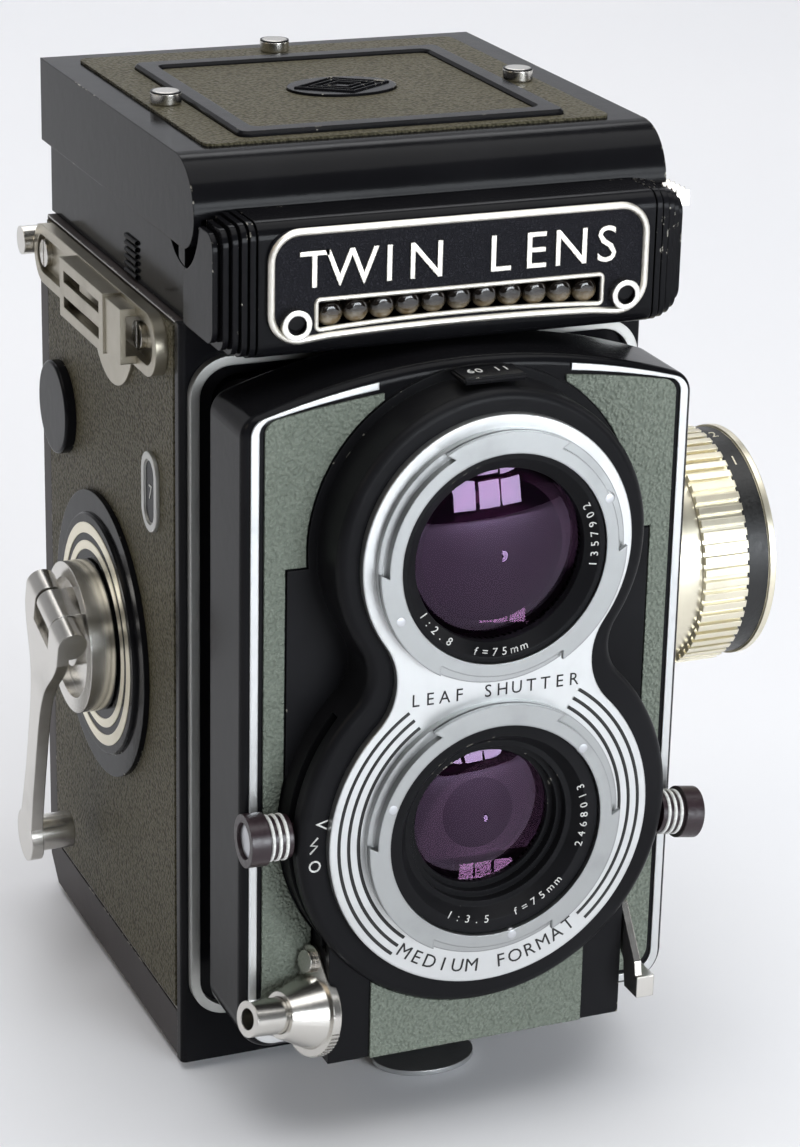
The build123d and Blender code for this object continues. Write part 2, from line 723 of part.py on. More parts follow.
def lens(z, radius, front, thick, bulge_front, bulge_rear):
    """A round lens with two curved faces, its rim starting at y = -front."""
    rear = thick - front
    with BuildPart() as made:
        with BuildSketch(Plane.YZ):
            with BuildLine():
                Line((-front, z + radius), (rear, z + radius))
                ThreePointArc(
                    (rear, z + radius),
                    (rear + sag(radius, bulge_rear), z + radius / 2),
                    (rear + bulge_rear, z),
                )
                Line((rear + bulge_rear, z), (-front - bulge_front, z))
                ThreePointArc(
                    (-front - bulge_front, z),
                    (-front - sag(radius, bulge_front), z + radius / 2),
                    (-front, z + radius),
                )
            make_face()
        revolve(axis=Axis((0, 0, z), (0, 1, 0)))
    return made.part


with BuildPart() as lens_glasses:
    add(lens(viewing_axis, 13.0, plate_face - 1.2, 2.2, 2.0, 1.2))
    add(lens(viewing_axis, 13.0, board_front + 1, 1.6, 0.8, 1.6))
    add(lens(taking_axis, 10.6, plate_face - 4.0, 1.6, 1.5, 0.6))
    add(lens(taking_axis, 10.6, board_front - 0.5, 2.0, 0.6, 1.2))
pieces["lens_glasses"] = lens_glasses

blade_count = 5
with BuildPart() as shutter_blades:
    for index in range(blade_count):
        depth = board_front + 2.0 + index * 0.34
        with BuildSketch(Plane.XZ.offset(depth)):
            with Locations(Location((0, taking_axis), index * 360 / blade_count)):
                with Locations((9.4, 3.0)):
                    Ellipse(10.6, 8.6)
        extrude(amount=0.12)
pieces["shutter_blades"] = shutter_blades

with BuildPart() as board_leathers:
    with BuildSketch(Plane.XZ.offset(board_front)):
        add(board_outline(3.1))
        add(flange_outline(0.3), mode=Mode.SUBTRACT)
        with Locations((0, arch_top)):
            Rectangle(28, 12, mode=Mode.SUBTRACT)
    extrude(amount=leather)
    with BuildSketch(Plane.XZ.offset(block_front)):
        with Locations((0, (board_low + taking_axis - 8) / 2)):
            Rectangle(34.4, taking_axis - 8 - board_low)
        with Locations((0, taking_axis)):
            Circle(housing_low + 0.2, mode=Mode.SUBTRACT)
    extrude(amount=leather)
pieces["board_leathers"] = board_leathers

with BuildPart() as board_trim:
    with BuildSketch(Plane.XZ.offset(board_front)):
        add(board_outline(1.1))
        add(board_outline(2.3), mode=Mode.SUBTRACT)
        with Locations((0, arch_top)):
            Rectangle(29.6, 14, mode=Mode.SUBTRACT)
        with Locations((0, board_low)):
            Rectangle(2 * block_half + 1, 14, mode=Mode.SUBTRACT)
    extrude(amount=0.3)
pieces["board_trim"] = board_trim

# ---------------------------------------------------------------- levers and release
lever_radius = 33.0


def shutter_lever(side, tilt):
    """A setting lever: an arm from the slot with a ringed knob on its end."""
    plane = Plane(
        origin=(0, -lever_y, taking_axis),
        x_dir=(side * cos(radians(tilt)), 0, sin(radians(tilt))),
        z_dir=(0, -1, 0),
    )
    with BuildPart() as made:
        with BuildSketch(plane.offset(-0.7)):
            with Locations(((slot_inner + 0.5 + 30.2) / 2, 0)):
                Rectangle(30.2 - slot_inner - 0.5, 3.2)
        extrude(amount=1.4)
        knob_plane = Plane(origin=plane.origin, x_dir=(0, 1, 0), z_dir=plane.x_dir)
        for radius, start, end in ((3.2, 29.7, 33.4), (3.9, 33.4, 36.3)):
            with BuildSketch(knob_plane.offset(start)):
                Circle(radius)
            extrude(amount=end - start)
        with BuildSketch(knob_plane.offset(36.3)):
            Circle(2.7)
        extrude(amount=-0.6, mode=Mode.SUBTRACT)
    return made


pieces["speed_lever"] = shutter_lever(-1, 1.5)
pieces["aperture_lever"] = shutter_lever(1, -9.0)

release_axis = (-0.955, -0.235, 0.18)
release_plane = Plane(
    origin=(-24.6, -board_front - 4.0, 20.0), x_dir=(0.235, -0.955, 0), z_dir=release_axis,
)
with BuildPart() as release_collar:
    with BuildSketch(release_plane):
        Circle(6.6)
        with Locations((-1.6, 7.2)):
            Circle(2.6)
        make_hull()
    extrude(amount=1.4)
    with BuildSketch(release_plane.offset(1.4)):
        Circle(5.6)
    with BuildSketch(release_plane.offset(6.6)):
        Circle(3.5)
    loft()
    with BuildSketch(release_plane.offset(1.4)):
        with Locations((-1.6, 7.4)):
            Circle(1.7)
    extrude(amount=0.9)
    block((-40, 0), (-board_front - leather - 0.05, 0), (0, 60), Mode.SUBTRACT)
    block((-block_half, 0), (-block_front - leather, 0), (0, 60), Mode.SUBTRACT)
    with BuildSketch(release_plane.offset(0.2)):
        Circle(2.7 + run)
    extrude(amount=12, mode=Mode.SUBTRACT)
pieces["release_collar"] = release_collar

with BuildPart() as release_button:
    with BuildSketch(release_plane.offset(3.2)):
        Circle(2.7)
    extrude(amount=9.0)
    with BuildSketch(release_plane.offset(12.2)):
        Circle(1.6)
    extrude(amount=-5, mode=Mode.SUBTRACT)
pieces["release_button"] = release_button

sync_y, sync_z = -board_front - 4.2, 29.0
with BuildPart() as sync_lever:
    with BuildSketch(Plane.YZ.offset(block_half + 0.2)):
        with BuildLine():
            Polyline(
                (sync_y + 1.9, sync_z + 1.6),
                (sync_y - 1.9, sync_z + 1.6),
                (sync_y - 7.4, sync_z - 6.0),
                (sync_y - 8.6, sync_z - 11.4),
                (sync_y - 4.4, sync_z - 11.4),
                (sync_y - 3.6, sync_z - 7.0),
                (sync_y + 1.9, sync_z - 1.8),
                close=True,
            )
        make_face()
    extrude(amount=1.1)
    block(
        (block_half + 0.2, block_half + 3.0),
        (sync_y - 8.6, sync_y - 4.4),
        (sync_z - 11.4, sync_z - 8.0),
    )
    rod_x(sync_y, sync_z, 1.2, block_half + 0.2, block_half + 1.9)
pieces["sync_lever"] = sync_lever

# ---------------------------------------------------------------- nameplate and meter
fin_count = 5
fin_start = 30.4
fin_pitch = 1.15
end_radius = 7.0


def housing_slice(inset):
    """The nameplate housing's cross-section, drawn in on its front, top and bottom."""
    depth = plate_front - body_front + 4 - inset
    with BuildSketch() as made:
        with Locations((inset - plate_front + depth / 2, plate_bottom + plate_height / 2)):
            RectangleRounded(depth, plate_height - 1.4 * inset, 2.4)
    return made.sketch


with BuildPart() as nameplate_housing:
    with BuildSketch(Plane.YZ.offset(-fin_start)):
        add(housing_slice(0))
    extrude(amount=2 * fin_start)
    with BuildSketch(Plane.YZ.offset(0.4 - fin_start - fin_count * fin_pitch)):
        add(housing_slice(3.4))
    extrude(amount=2 * (fin_start + fin_count * fin_pitch - 0.4))
    for side in (-1, 1):
        for fin in range(fin_count):
            rise = (fin + 0.8) * fin_pitch
            with BuildSketch(Plane.YZ.offset(side * (fin_start + fin * fin_pitch + 0.3))):
                add(housing_slice(end_radius - sqrt(end_radius ** 2 - rise ** 2)))
            extrude(amount=side * (fin_pitch - 0.3))
    block((-half, half), (-body_front, 0), (plate_bottom - 1, lid_top), Mode.SUBTRACT)
    rod_x(lid_y, lid_z, roll_radius + 0.8, -half - 1, half + 1, Mode.SUBTRACT)
    block((-22.2, 22.2), (-plate_front - 1, 3.2 - plate_front), (120.4, 126.6), Mode.SUBTRACT)
pieces["nameplate_housing"] = nameplate_housing

plate_half = 29.0
with BuildPart() as nameplate:
    with BuildSketch(Plane.XZ.offset(plate_front)) as plate_outline:
        with BuildLine():
            Line((-plate_half, 119.4), (-plate_half, 135.9))
            Line((-plate_half, 135.9), (plate_half, 135.9))
            Line((plate_half, 135.9), (plate_half, 119.4))
            ThreePointArc((plate_half, 119.4), (0, 120.2), (-plate_half, 119.4))
        make_face()
        fillet(plate_outline.vertices().group_by(Axis.Y)[-1], 3.6)
        fillet(plate_outline.vertices().group_by(Axis.Y)[0], 5.0)
        with BuildLine():
            ThreePointArc((-21.6, 121.2), (0, 121.9), (21.6, 121.2))
            Line((21.6, 121.2), (21.6, 125.2))
            ThreePointArc((21.6, 125.2), (0, 126.1), (-21.6, 125.2))
            Line((-21.6, 125.2), (-21.6, 121.2))
        make_face(mode=Mode.SUBTRACT)
    extrude(amount=0.5)
pieces["nameplate"] = nameplate

bead_count = 11
bead_pitch = 43.2 / bead_count
with BuildPart() as meter_window:
    for bead in range(bead_count):
        x = (bead - (bead_count - 1) / 2) * bead_pitch
        rise = 0.7 * (1 - (x / 21.6) ** 2)
        rod_y(x, 123.3 + rise, bead_pitch / 2 - 0.03, -plate_front - 0.4, 3.0 - plate_front)
    fillet(meter_window.edges().group_by(Axis.Y)[0], 1.2)
pieces["meter_window"] = meter_window

with BuildPart() as meter_sockets:
    for side in (-1, 1):
        rod_y(side * 25.3, 122.7, 2.2, -plate_front - 2.0, -plate_front - 0.5)
        rod_y(side * 25.3, 122.7, 1.4, -plate_front - 3.0, -plate_front, Mode.SUBTRACT)
pieces["meter_sockets"] = meter_sockets

# ---------------------------------------------------------------- focusing hood
flap_z = lid_low + 1.6
rear_flap_z = flap_z + 1.4
hood_clear = lid_y + 6.6
with BuildPart() as hood_base:
    block((-base_half, base_half), (-body_front + casting_wall, 34.6), (body_top, lid_low - 0.3))
    block((-34.8, 34.8), (hood_clear, 33.2), (lid_low - 1, flap_z - 1.2))
    block((-31.4, 31.4), (-30.5, 31.2), (body_top - 1, flap_z), Mode.SUBTRACT)
    rod_x(lid_y, lid_z, roll_radius + 0.8, -half - 1, half + 1, Mode.SUBTRACT)
    for side in (-1, 1):
        ear = mirrored(base_half - 1.6, base_half - 0.1, side)
        block(ear, (lid_y + 0.3, lid_y + 3), (lid_z - roll_radius - 3, lid_z))
        rod_x(lid_y, lid_z, 2.6, ear[0], ear[1])
    rod_x(lid_y, lid_z, 1.4 + run, -half, half, Mode.SUBTRACT)
pieces["hood_base"] = hood_base

lid_half = 36.6
lid_posts = ((-28.6, -3.5), (28.6, -3.5), (0, 27.6))
with BuildPart() as hood_lid:
    with BuildSketch(Plane.YZ.offset(-lid_half)) as lid_profile:
        with BuildLine():
            Polyline(
                (lid_y, lid_top), (lid_rear, lid_top), (lid_rear, lid_low), (5.0 - lid_front, lid_low),
            )
            RadiusArc((5.0 - lid_front, lid_low), (-lid_front, lid_z), 5.2)
            RadiusArc((-lid_front, lid_z), (lid_y, lid_top), roll_radius)
        make_face()
    extrude(amount=2 * lid_half)
    with BuildSketch(Plane.YZ.offset(skin - lid_half)):
        with BuildLine():
            Polyline(
                (lid_y, lid_top - skin),
                (lid_rear - skin, lid_top - skin),
                (lid_rear - skin, lid_low - 1),
                (-lid_front - 1, lid_low - 1),
                (-lid_front - 1, lid_z),
                (skin - lid_front, lid_z),
            )
            RadiusArc((skin - lid_front, lid_z), (lid_y, lid_top - skin), roll_radius - skin)
        make_face()
    extrude(amount=2 * (lid_half - skin), mode=Mode.SUBTRACT)
    with BuildSketch(Plane.XY.offset(lid_top)):
        with Locations((0, -3.0)):
            RectangleRounded(51.2, 50, 1.6)
            RectangleRounded(44.8, 43.4, 1.2, mode=Mode.SUBTRACT)
    extrude(amount=1.2)
    chamfer(hood_lid.faces().sort_by(Axis.Z)[-1].edges(), 0.4)
    with BuildSketch(Plane.XY.offset(lid_top)):
        with Locations((0, -2.0)):
            Ellipse(8.6, 6.2)
    extrude(amount=1.0)
    for x, y in lid_posts:
        rod_z(x, y, 1.5, lid_top, lid_top + leather + 0.1)
        rod_z(x, y, 2.3, lid_top + leather + 0.1, lid_top + 2.3)
    for side in (-1, 1):
        rod_x(lid_y, lid_z, 1.4, side * (lid_half - skin), side * (base_half - 1.6))
pieces["hood_lid"] = hood_lid

with BuildPart() as lid_leather:
    with BuildSketch(Plane.XY.offset(lid_top)):
        with Locations((0, 0.2)):
            RectangleRounded(63.4, 61.0, 1.5)
        with Locations((0, -3.0)):
            RectangleRounded(51.4, 50.2, 1.6, mode=Mode.SUBTRACT)
    extrude(amount=leather)
    with BuildSketch(Plane.XY.offset(lid_top)):
        with Locations((0, -3.0)):
            RectangleRounded(44.6, 43.2, 1.2)
        with Locations((0, -2.0)):
            Ellipse(8.7, 6.3, mode=Mode.SUBTRACT)
    extrude(amount=leather + 0.2)
    for x, y in lid_posts:
        rod_z(x, y, 1.7, lid_top - 1, lid_top + 2, Mode.SUBTRACT)
pieces["lid_leather"] = lid_leather

flap_x = 32.6
flap_length = 30.5
for side, name in ((-1, "left_flap"), (1, "right_flap")):
    with BuildPart() as side_flap:
        with BuildSketch(Plane.XY.offset(flap_z - 0.3)):
            Polygon(
                (side * flap_x, -29.5),
                (side * (flap_x - 14), -29.5),
                (side * (flap_x - flap_length), -18.5),
                (side * (flap_x - flap_length), 1.0),
                (side * flap_x, 31.4),
                align=None,
            )
        extrude(amount=0.6)
        rod_y(side * flap_x, flap_z, 0.9, -29.5, 31.4)
    pieces[name] = side_flap

rear_flap_y = 32.5
rear_flap_length = 29.5
with BuildPart() as rear_flap:
    block(
        (-31, 31),
        (rear_flap_y - rear_flap_length, rear_flap_y),
        (rear_flap_z - 0.3, rear_flap_z + 0.3),
    )
    rod_x(rear_flap_y, rear_flap_z, 0.8, -31, 31)
pieces["rear_flap"] = rear_flap

magnifier_y = lid_y + 33.0
magnifier_z = lid_z + 5.4
magnifier_reach = 28.5
magnifier_radius = 11.0
with BuildPart() as magnifier_frame:
    block(
        (-14, 14), (magnifier_y, magnifier_y + magnifier_reach), (magnifier_z - 0.7, magnifier_z + 0.7),
    )
    rod_x(magnifier_y, magnifier_z, 0.9, -14, 14)
    rod_z(0, magnifier_y + 15.2, magnifier_radius, magnifier_z - 1, magnifier_z + 1, Mode.SUBTRACT)
pieces["magnifier_frame"] = magnifier_frame

with BuildPart() as magnifier_lens:
    rod_z(0, magnifier_y + 15.2, magnifier_radius, magnifier_z - 1.1, magnifier_z + 1.1)
    fillet(magnifier_lens.edges(), 0.7)
pieces["magnifier_lens"] = magnifier_lens

# ---------------------------------------------------------------- back door
lip_inner = 35.2
lip_outer = 36.4
door_top = 112.0
lip_height = 7.5
slot_half = 7.2
with BuildPart() as back_door:
    with BuildSketch(Plane.YZ.offset(-lip_outer)) as door_profile:
        with BuildLine():
            Polyline(
                (wall_front + 0.2, 0),
                (body_rear - 4, 0),
                (body_rear, 4),
                (body_rear, door_top),
                (wall_rear + 0.4, door_top),
                (wall_rear + 0.4, lip_height),
                (wall_front + 0.2, lip_height),
                close=True,
            )
        make_face()
    extrude(amount=2 * lip_outer)
    with BuildSketch(Plane.YZ.offset(-lip_inner)):
        with BuildLine():
            Polyline(
                (wall_front - 1, skin),
                (body_rear - 4.4, skin),
                (body_rear - skin, 4.4),
                (body_rear - skin, door_top + 1),
                (wall_rear - 1, door_top + 1),
                (wall_rear - 1, lip_height + 1),
                (wall_front - 1, lip_height + 1),
                close=True,
            )
        make_face()
    extrude(amount=2 * lip_inner, mode=Mode.SUBTRACT)
    with BuildSketch(Plane.XY):
        with Locations((0, -2.1)):
            SlotOverall(2 * slot_half + 4.4, 2 * slot_half, rotation=90)
    extrude(amount=skin, mode=Mode.SUBTRACT)
    block(
        (-knuckle_half, knuckle_half),
        (body_rear - skin - 0.8, body_rear),
        (door_top - 3, door_z - 0.5),
    )
    rod_x(door_y, door_z, 2.0, -knuckle_half, knuckle_half)
    rod_x(door_y, door_z, 1.1 + run, -knuckle_half - 1, knuckle_half + 1, Mode.SUBTRACT)
    for x in (-27.0, 27.0):
        for y in (-25.0, 27.0):
            rod_z(x, y, 2.6, -foot_height, 0)
pieces["back_door"] = back_door

with BuildPart() as door_leather:
    block((-lip_outer + 1.2, lip_outer - 1.2), (body_rear, body_rear + leather), (8, door_top - 4))
pieces["door_leather"] = door_leather

with BuildPart() as pressure_plate:
    block((-30, 30), (film_plane + 0.5, film_plane + 1.7), (23, 76))
    for z in (36, 63):
        rod_y(0, z, 5, film_plane + 1.7, body_rear - skin)
pieces["pressure_plate"] = pressure_plate

latch_y = -20.0
with BuildPart() as door_latch:
    with BuildSketch(Plane.XY.offset(-0.15)):
        with Locations((0, latch_y - 11.5)):
            Rectangle(13.5, 23)
        with Locations((0, latch_y - 22.5)):
            Ellipse(8.2, 6.2)
    extrude(amount=-0.8)
    rod_x(latch_y, -0.55, 0.4, -6.75, 6.75)
pieces["door_latch"] = door_latch

for name, piece in pieces.items():
    piece.part.label = name
    export_step(piece.part, f"parts/{name}.step")
print(len(pieces), "pieces")
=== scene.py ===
# %% [markdown]
# # A twin lens reflex camera
# The camera stands on a pale table. Its solid pieces come ready made as a fixed frame, and
# this lesson gives them their finishes and adds the fine pieces: lettering, rings, wires and
# small fittings. Everything is in metres, with the lenses looking along -Y and +Z up.

# %% Load the frame
import json
import math

import bmesh
import bpy
from mathutils import Matrix, Vector


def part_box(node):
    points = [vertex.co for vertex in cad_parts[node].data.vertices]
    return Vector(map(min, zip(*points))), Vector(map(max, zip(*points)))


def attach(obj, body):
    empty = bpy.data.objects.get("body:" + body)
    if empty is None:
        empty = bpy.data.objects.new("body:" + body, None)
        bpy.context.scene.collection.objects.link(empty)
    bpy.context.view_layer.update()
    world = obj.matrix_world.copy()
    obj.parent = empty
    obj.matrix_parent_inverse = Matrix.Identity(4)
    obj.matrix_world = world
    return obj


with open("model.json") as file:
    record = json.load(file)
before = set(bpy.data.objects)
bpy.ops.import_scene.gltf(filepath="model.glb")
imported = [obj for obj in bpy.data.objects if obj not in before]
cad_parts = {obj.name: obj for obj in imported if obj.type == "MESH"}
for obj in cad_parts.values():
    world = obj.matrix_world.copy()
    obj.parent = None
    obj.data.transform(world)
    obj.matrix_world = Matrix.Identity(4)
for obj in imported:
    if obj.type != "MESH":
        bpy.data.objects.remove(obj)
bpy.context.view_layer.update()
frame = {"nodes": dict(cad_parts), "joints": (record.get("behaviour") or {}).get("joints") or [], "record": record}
nodes = frame["nodes"]
MM = 0.001

# %% [markdown]
# Positions are read from the frame, so the fine pieces stay right if a solid is resized.
# The two lens axes, the front plate and the board's face are used again and again, so they
# are measured once here.

# %% Measure the places used later
mounts = {m["name"]: m for m in frame["record"]["mounts"]}
joints = {j["name"]: j for j in frame["joints"]}
viewing = Vector(mounts["viewing_bayonet"]["pos_m"])
taking = Vector(mounts["taking_bayonet"]["pos_m"])
plate_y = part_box("front_plate")[0].y
ring_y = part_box("front_plate")[1].y
board_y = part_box("board_trim")[1].y
side_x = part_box("side_leathers")[0].x
crank_at = Vector(joints["crank_turn"]["pos_m"])
knob_at = Vector(joints["focus_knob_turn"]["pos_m"])
lid_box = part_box("hood_lid")
print("lens spacing mm:", round((viewing.z - taking.z) / MM, 2))

# %% [markdown]
# Shader maths reads badly as separate nodes. A small class wraps a socket, so that masks can
# be written as sums and products, including 1 - mask. Colours are left to Mix nodes, because a
# Math node would turn them grey.

# %% Sums and products of sockets


class Value:
    """A socket that can be added, multiplied and subtracted, from either side."""

    def __init__(self, paint, socket):
        self.paint = paint
        self.socket = socket

    def op(self, name, other, flip=False):
        first, second = (other, self) if flip else (self, other)
        return self.paint.add("ShaderNodeMath", {"operation": name}, {0: first, 1: second})

    def __add__(self, other):
        return self.op("ADD", other)

    def __mul__(self, other):
        return self.op("MULTIPLY", other)

    def __radd__(self, other):
        return self.op("ADD", other, flip=True)

    def __rmul__(self, other):
        return self.op("MULTIPLY", other, flip=True)

    def __sub__(self, other):
        return self.op("SUBTRACT", other)

    def __rsub__(self, other):
        return self.op("SUBTRACT", other, flip=True)

    def ramp(self, low, high):
        """0 below low, 1 above high, smooth between."""
        values = {"Value": self, "From Min": low, "From Max": high}
        return self.paint.add("ShaderNodeMapRange", {"interpolation_type": "SMOOTHSTEP"}, values)


print("socket maths ready")

# %% [markdown]
# One object holds one material. Constants go straight to the shader's own sockets, and every
# other node is added by a single method that takes its kind, its settings and its values. The
# patterns that the finishes share, such as noise, cells and worn edges, are named here once.

# %% One material at a time


class Paint:
    """One material with its Principled shader."""

    def __init__(self, name, **constants):
        self.material = bpy.data.materials.new(name)
        self.material.use_nodes = True
        self.tree = self.material.node_tree
        self.shader = self.tree.nodes["Principled BSDF"]
        self.set(**constants)
        self.place = self.add("ShaderNodeTexCoord", {}, {}, "Object")

    def set(self, **inputs):
        for key, value in inputs.items():
            self.plug(self.shader.inputs[key.replace("_", " ")], value)

    def plug(self, socket, value):
        if isinstance(value, Value):
            self.tree.links.new(value.socket, socket)
        elif isinstance(value, tuple) and len(value) == 3 and socket.type == "RGBA":
            socket.default_value = (*value, 1)
        else:
            socket.default_value = value

    def add(self, kind, settings, values, output=0):
        node = self.tree.nodes.new(kind)
        for key, value in settings.items():
            setattr(node, key, value)
        for key, value in values.items():
            self.plug(node.inputs[key], value)
        return Value(self, node.outputs[output])

    def noise(self, scale, detail=4, stretch=(1, 1, 1)):
        where = self.add("ShaderNodeMapping", {}, {"Vector": self.place, "Scale": stretch})
        values = {"Vector": where, "Scale": scale, "Detail": detail}
        return self.add("ShaderNodeTexNoise", {}, values)

    def bent(self, scale, amount):
        """The place, pushed about by noise so that no pattern stays regular."""
        warp = self.add("ShaderNodeTexNoise", {}, {"Vector": self.place, "Scale": scale}, 1)
        push = self.add("ShaderNodeVectorMath", {"operation": "SCALE"}, {0: warp, "Scale": amount})
        return self.add("ShaderNodeVectorMath", {"operation": "ADD"}, {0: self.place, 1: push})

    def cells(self, scale, feature, place):
        values = {"Vector": place, "Scale": scale}
        return self.add("ShaderNodeTexVoronoi", {"feature": feature}, values)

    def mix(self, mask, low, high):
        """Two colours by a mask. Sockets 6 and 7 of the node are its colours."""
        values = {0: mask, 6: low, 7: high}
        return self.add("ShaderNodeMix", {"data_type": "RGBA"}, values, 2)

    def edges(self, radius):
        """1 along sharp edges, 0 on flat faces."""
        soft = self.add("ShaderNodeBevel", {"samples": 6}, {"Radius": radius})
        flat = self.add("ShaderNodeNewGeometry", {}, {}, "Normal")
        pair = {0: soft, 1: flat}
        same = self.add("ShaderNodeVectorMath", {"operation": "DOT_PRODUCT"}, pair, "Value")
        return (1 - same).ramp(0.02, 0.22)

    def bump(self, height, distance, strength=1.0, soft=True):
        """Relief, on edges that are rounded a little unless soft is off."""
        values = {"Height": height, "Distance": distance, "Strength": strength}
        if soft:
            values["Normal"] = self.add("ShaderNodeBevel", {"samples": 4}, {"Radius": 0.00025})
        self.set(Normal=self.add("ShaderNodeBump", {}, values))


print("shader helpers ready")

# %% [markdown]
# Black stove enamel covers the castings. It is glossy, slightly orange-peeled, and it has
# chipped along the edges where hands and cases rub it, so bare metal shows there in specks.
# A bevel comparison finds the edges and a noise breaks them into chips.

# %% Painted metal


def enamel(name, colour, rough, chips, peel=0.00002, bare=(0.55, 0.52, 0.45)):
    paint = Paint(name, Specular_IOR_Level=0.07)
    specks = paint.noise(900, 6)
    handled = paint.noise(60, 3).ramp(0.45, 0.7)
    worn = paint.edges(0.0005) * (specks * (handled * 0.25 + 0.85)).ramp(chips, chips + 0.05)
    cloud = paint.noise(35, 5)
    lighter = tuple(min(1, c * 1.5 + 0.001) for c in colour)
    paint.set(Base_Color=paint.mix(worn, paint.mix(cloud.ramp(0.4, 0.75), colour, lighter), bare))
    paint.set(Metallic=worn)
    paint.set(Roughness=cloud * 0.14 + rough + worn * 0.15)
    paint.bump(paint.noise(420, 3) - worn * 1.5, peel)
    return paint.material


black = enamel("black_enamel", (0.006, 0.006, 0.007), 0.09, 0.60)
satin_black = enamel("satin_black", (0.008, 0.008, 0.009), 0.26, 0.64)
plum = enamel("plum_grey_paint", (0.055, 0.048, 0.048), 0.30, 0.50)
print("painted finishes:", black.name, satin_black.name, plum.name)

# %% [markdown]
# The shutter housing and the nameplate carry a wrinkled black paint. Its pattern is a web of
# tiny ridges, which a distorted Voronoi pattern gives better than plain noise.

# %% Wrinkled paint


def wrinkle(name, colour, scale, rough=0.42, depth=0.00008):
    paint = Paint(name, Specular_IOR_Level=0.06)
    web = paint.cells(scale, "DISTANCE_TO_EDGE", paint.bent(scale * 0.7, 0.0012))
    high = web.ramp(0.02, 0.30)
    pale = tuple(c * 2 + 0.004 for c in colour)
    paint.set(Base_Color=paint.mix(high * 0.7, colour, pale))
    paint.set(Roughness=rough - high * 0.12)
    paint.bump(high + paint.noise(scale * 2) * 0.4, depth)
    return paint.material


plate_crackle = wrinkle("nameplate_crackle", (0.010, 0.010, 0.013), 2100, 0.38)
matt = wrinkle("dead_black", (0.004, 0.004, 0.004), 2500, 0.75, 0.00003)
print("wrinkled finishes ready")

# %% [markdown]
# Two coverings are glued to the camera. The sides and the lid wear a fine olive grained
# leather, darker in its valleys and polished on its heights. The lens board wears a greener
# grey one with round pebbles. Both are cells of slightly uneven size with a bump.

# %% Leather coverings


def covering(name, valley, height, tint, scale, rough, depth):
    """Leather. The heights vary between the colour height and the colour tint."""
    paint = Paint(name, Specular_IOR_Level=0.12)
    pebble = paint.cells(scale, "SMOOTH_F1", paint.bent(scale * 0.5, 0.45 / scale))
    grain = paint.noise(scale * 3, 5)
    rise = (1 - pebble.ramp(0.10, 0.75)) * (grain * 0.5 + 0.75)
    aged = paint.noise(45, 6).ramp(0.35, 0.7)
    top = paint.mix(aged, height, tint)
    paint.set(Base_Color=paint.mix(rise.ramp(0.05, 0.6), valley, top))
    paint.set(Roughness=rough - rise * 0.14)
    paint.bump(rise, depth)
    return paint.material


olive = ((0.056, 0.050, 0.030), (0.112, 0.100, 0.064), (0.098, 0.088, 0.054))
sage = ((0.150, 0.172, 0.142), (0.196, 0.222, 0.184), (0.180, 0.205, 0.170))
side_cover = covering("side_leather", *olive, scale=2300, rough=0.52, depth=0.00022)
board_cover = covering("board_leather", *sage, scale=2200, rough=0.42, depth=0.00028)
print("coverings ready")

# %% [markdown]
# The bright pieces are nickel and satin chrome. Neither is a perfect mirror: fine polishing
# lines run one way and handling leaves soft dull clouds. A strongly stretched noise makes the
# lines, and some finishes get painted shade, a darker colour along sharp edges and in corners.

# %% Bright metal


def metal(name, colour, rough, lines=(1, 1, 1), painted_edge_shade=0.0, depth=0.000006, marks=0.16):
    paint = Paint(name, Metallic=1.0)
    brushed = paint.noise(1400, 3, lines)
    cloud = paint.noise(90, 5)
    dull = tuple(c * 0.62 for c in colour)
    # Painted shade: shade holds the dull handling clouds and also darkens the colour along sharp edges and in
    # corners.
    shade = cloud.ramp(0.5, 0.8) * 0.5 + paint.edges(0.0006) * painted_edge_shade
    paint.set(Base_Color=paint.mix(shade, colour, dull))
    paint.set(Roughness=brushed * marks + cloud * 0.12 + rough)
    paint.bump(brushed, depth)
    return paint.material


nickel = metal("nickel", (0.66, 0.64, 0.60), 0.13, (0.4, 0.4, 0.4), 0.0, 0.000002, 0.08)
satin = metal("satin_chrome", (0.62, 0.63, 0.63), 0.24, (1, 1, 0.03))
champagne = metal("champagne_metal", (0.82, 0.77, 0.62), 0.20, (1, 0.1, 0.1))
# The turned chrome and the aged nickel get painted shade along their edges and in corners.
turned_chrome = metal("turned_chrome", (0.38, 0.39, 0.39), 0.22, (1, 1, 1), 0.5)
aged_nickel = metal("aged_nickel", (0.40, 0.37, 0.30), 0.20, (0.4, 0.4, 0.4), 0.4)
old_silver = metal("dull_silver", (0.50, 0.50, 0.48), 0.30)
brass = metal("brass", (0.70, 0.52, 0.22), 0.25)
steel = metal("machined_steel", (0.52, 0.53, 0.55), 0.22, (0.05, 1, 1))
print("bright finishes ready")

# %% [markdown]
# The glasses carry a purple anti-reflection coating, so their reflections are magenta while
# the light that passes stays nearly clear. Small smears raise the roughness a little. The
# meter's beads are pressed amber glass whose colour holds painted light: dark at the top and lit amber towards the
# bottom.

# %% Glass


def glass(name, colour, tint, rough=0.0):
    paint = Paint(name, IOR=1.5, Transmission_Weight=1.0, Specular_Tint=tint)
    paint.set(Specular_IOR_Level=0.14)
    smear = paint.noise(120, 6).ramp(0.5, 0.9)
    cleaner = tuple(min(1, c * 1.04) for c in colour)
    paint.set(Base_Color=paint.mix(smear, colour, cleaner))
    paint.set(Roughness=smear * 0.006 + rough)
    paint.bump(paint.noise(15, 2), 0.000002, 0.5, False)
    return paint.material


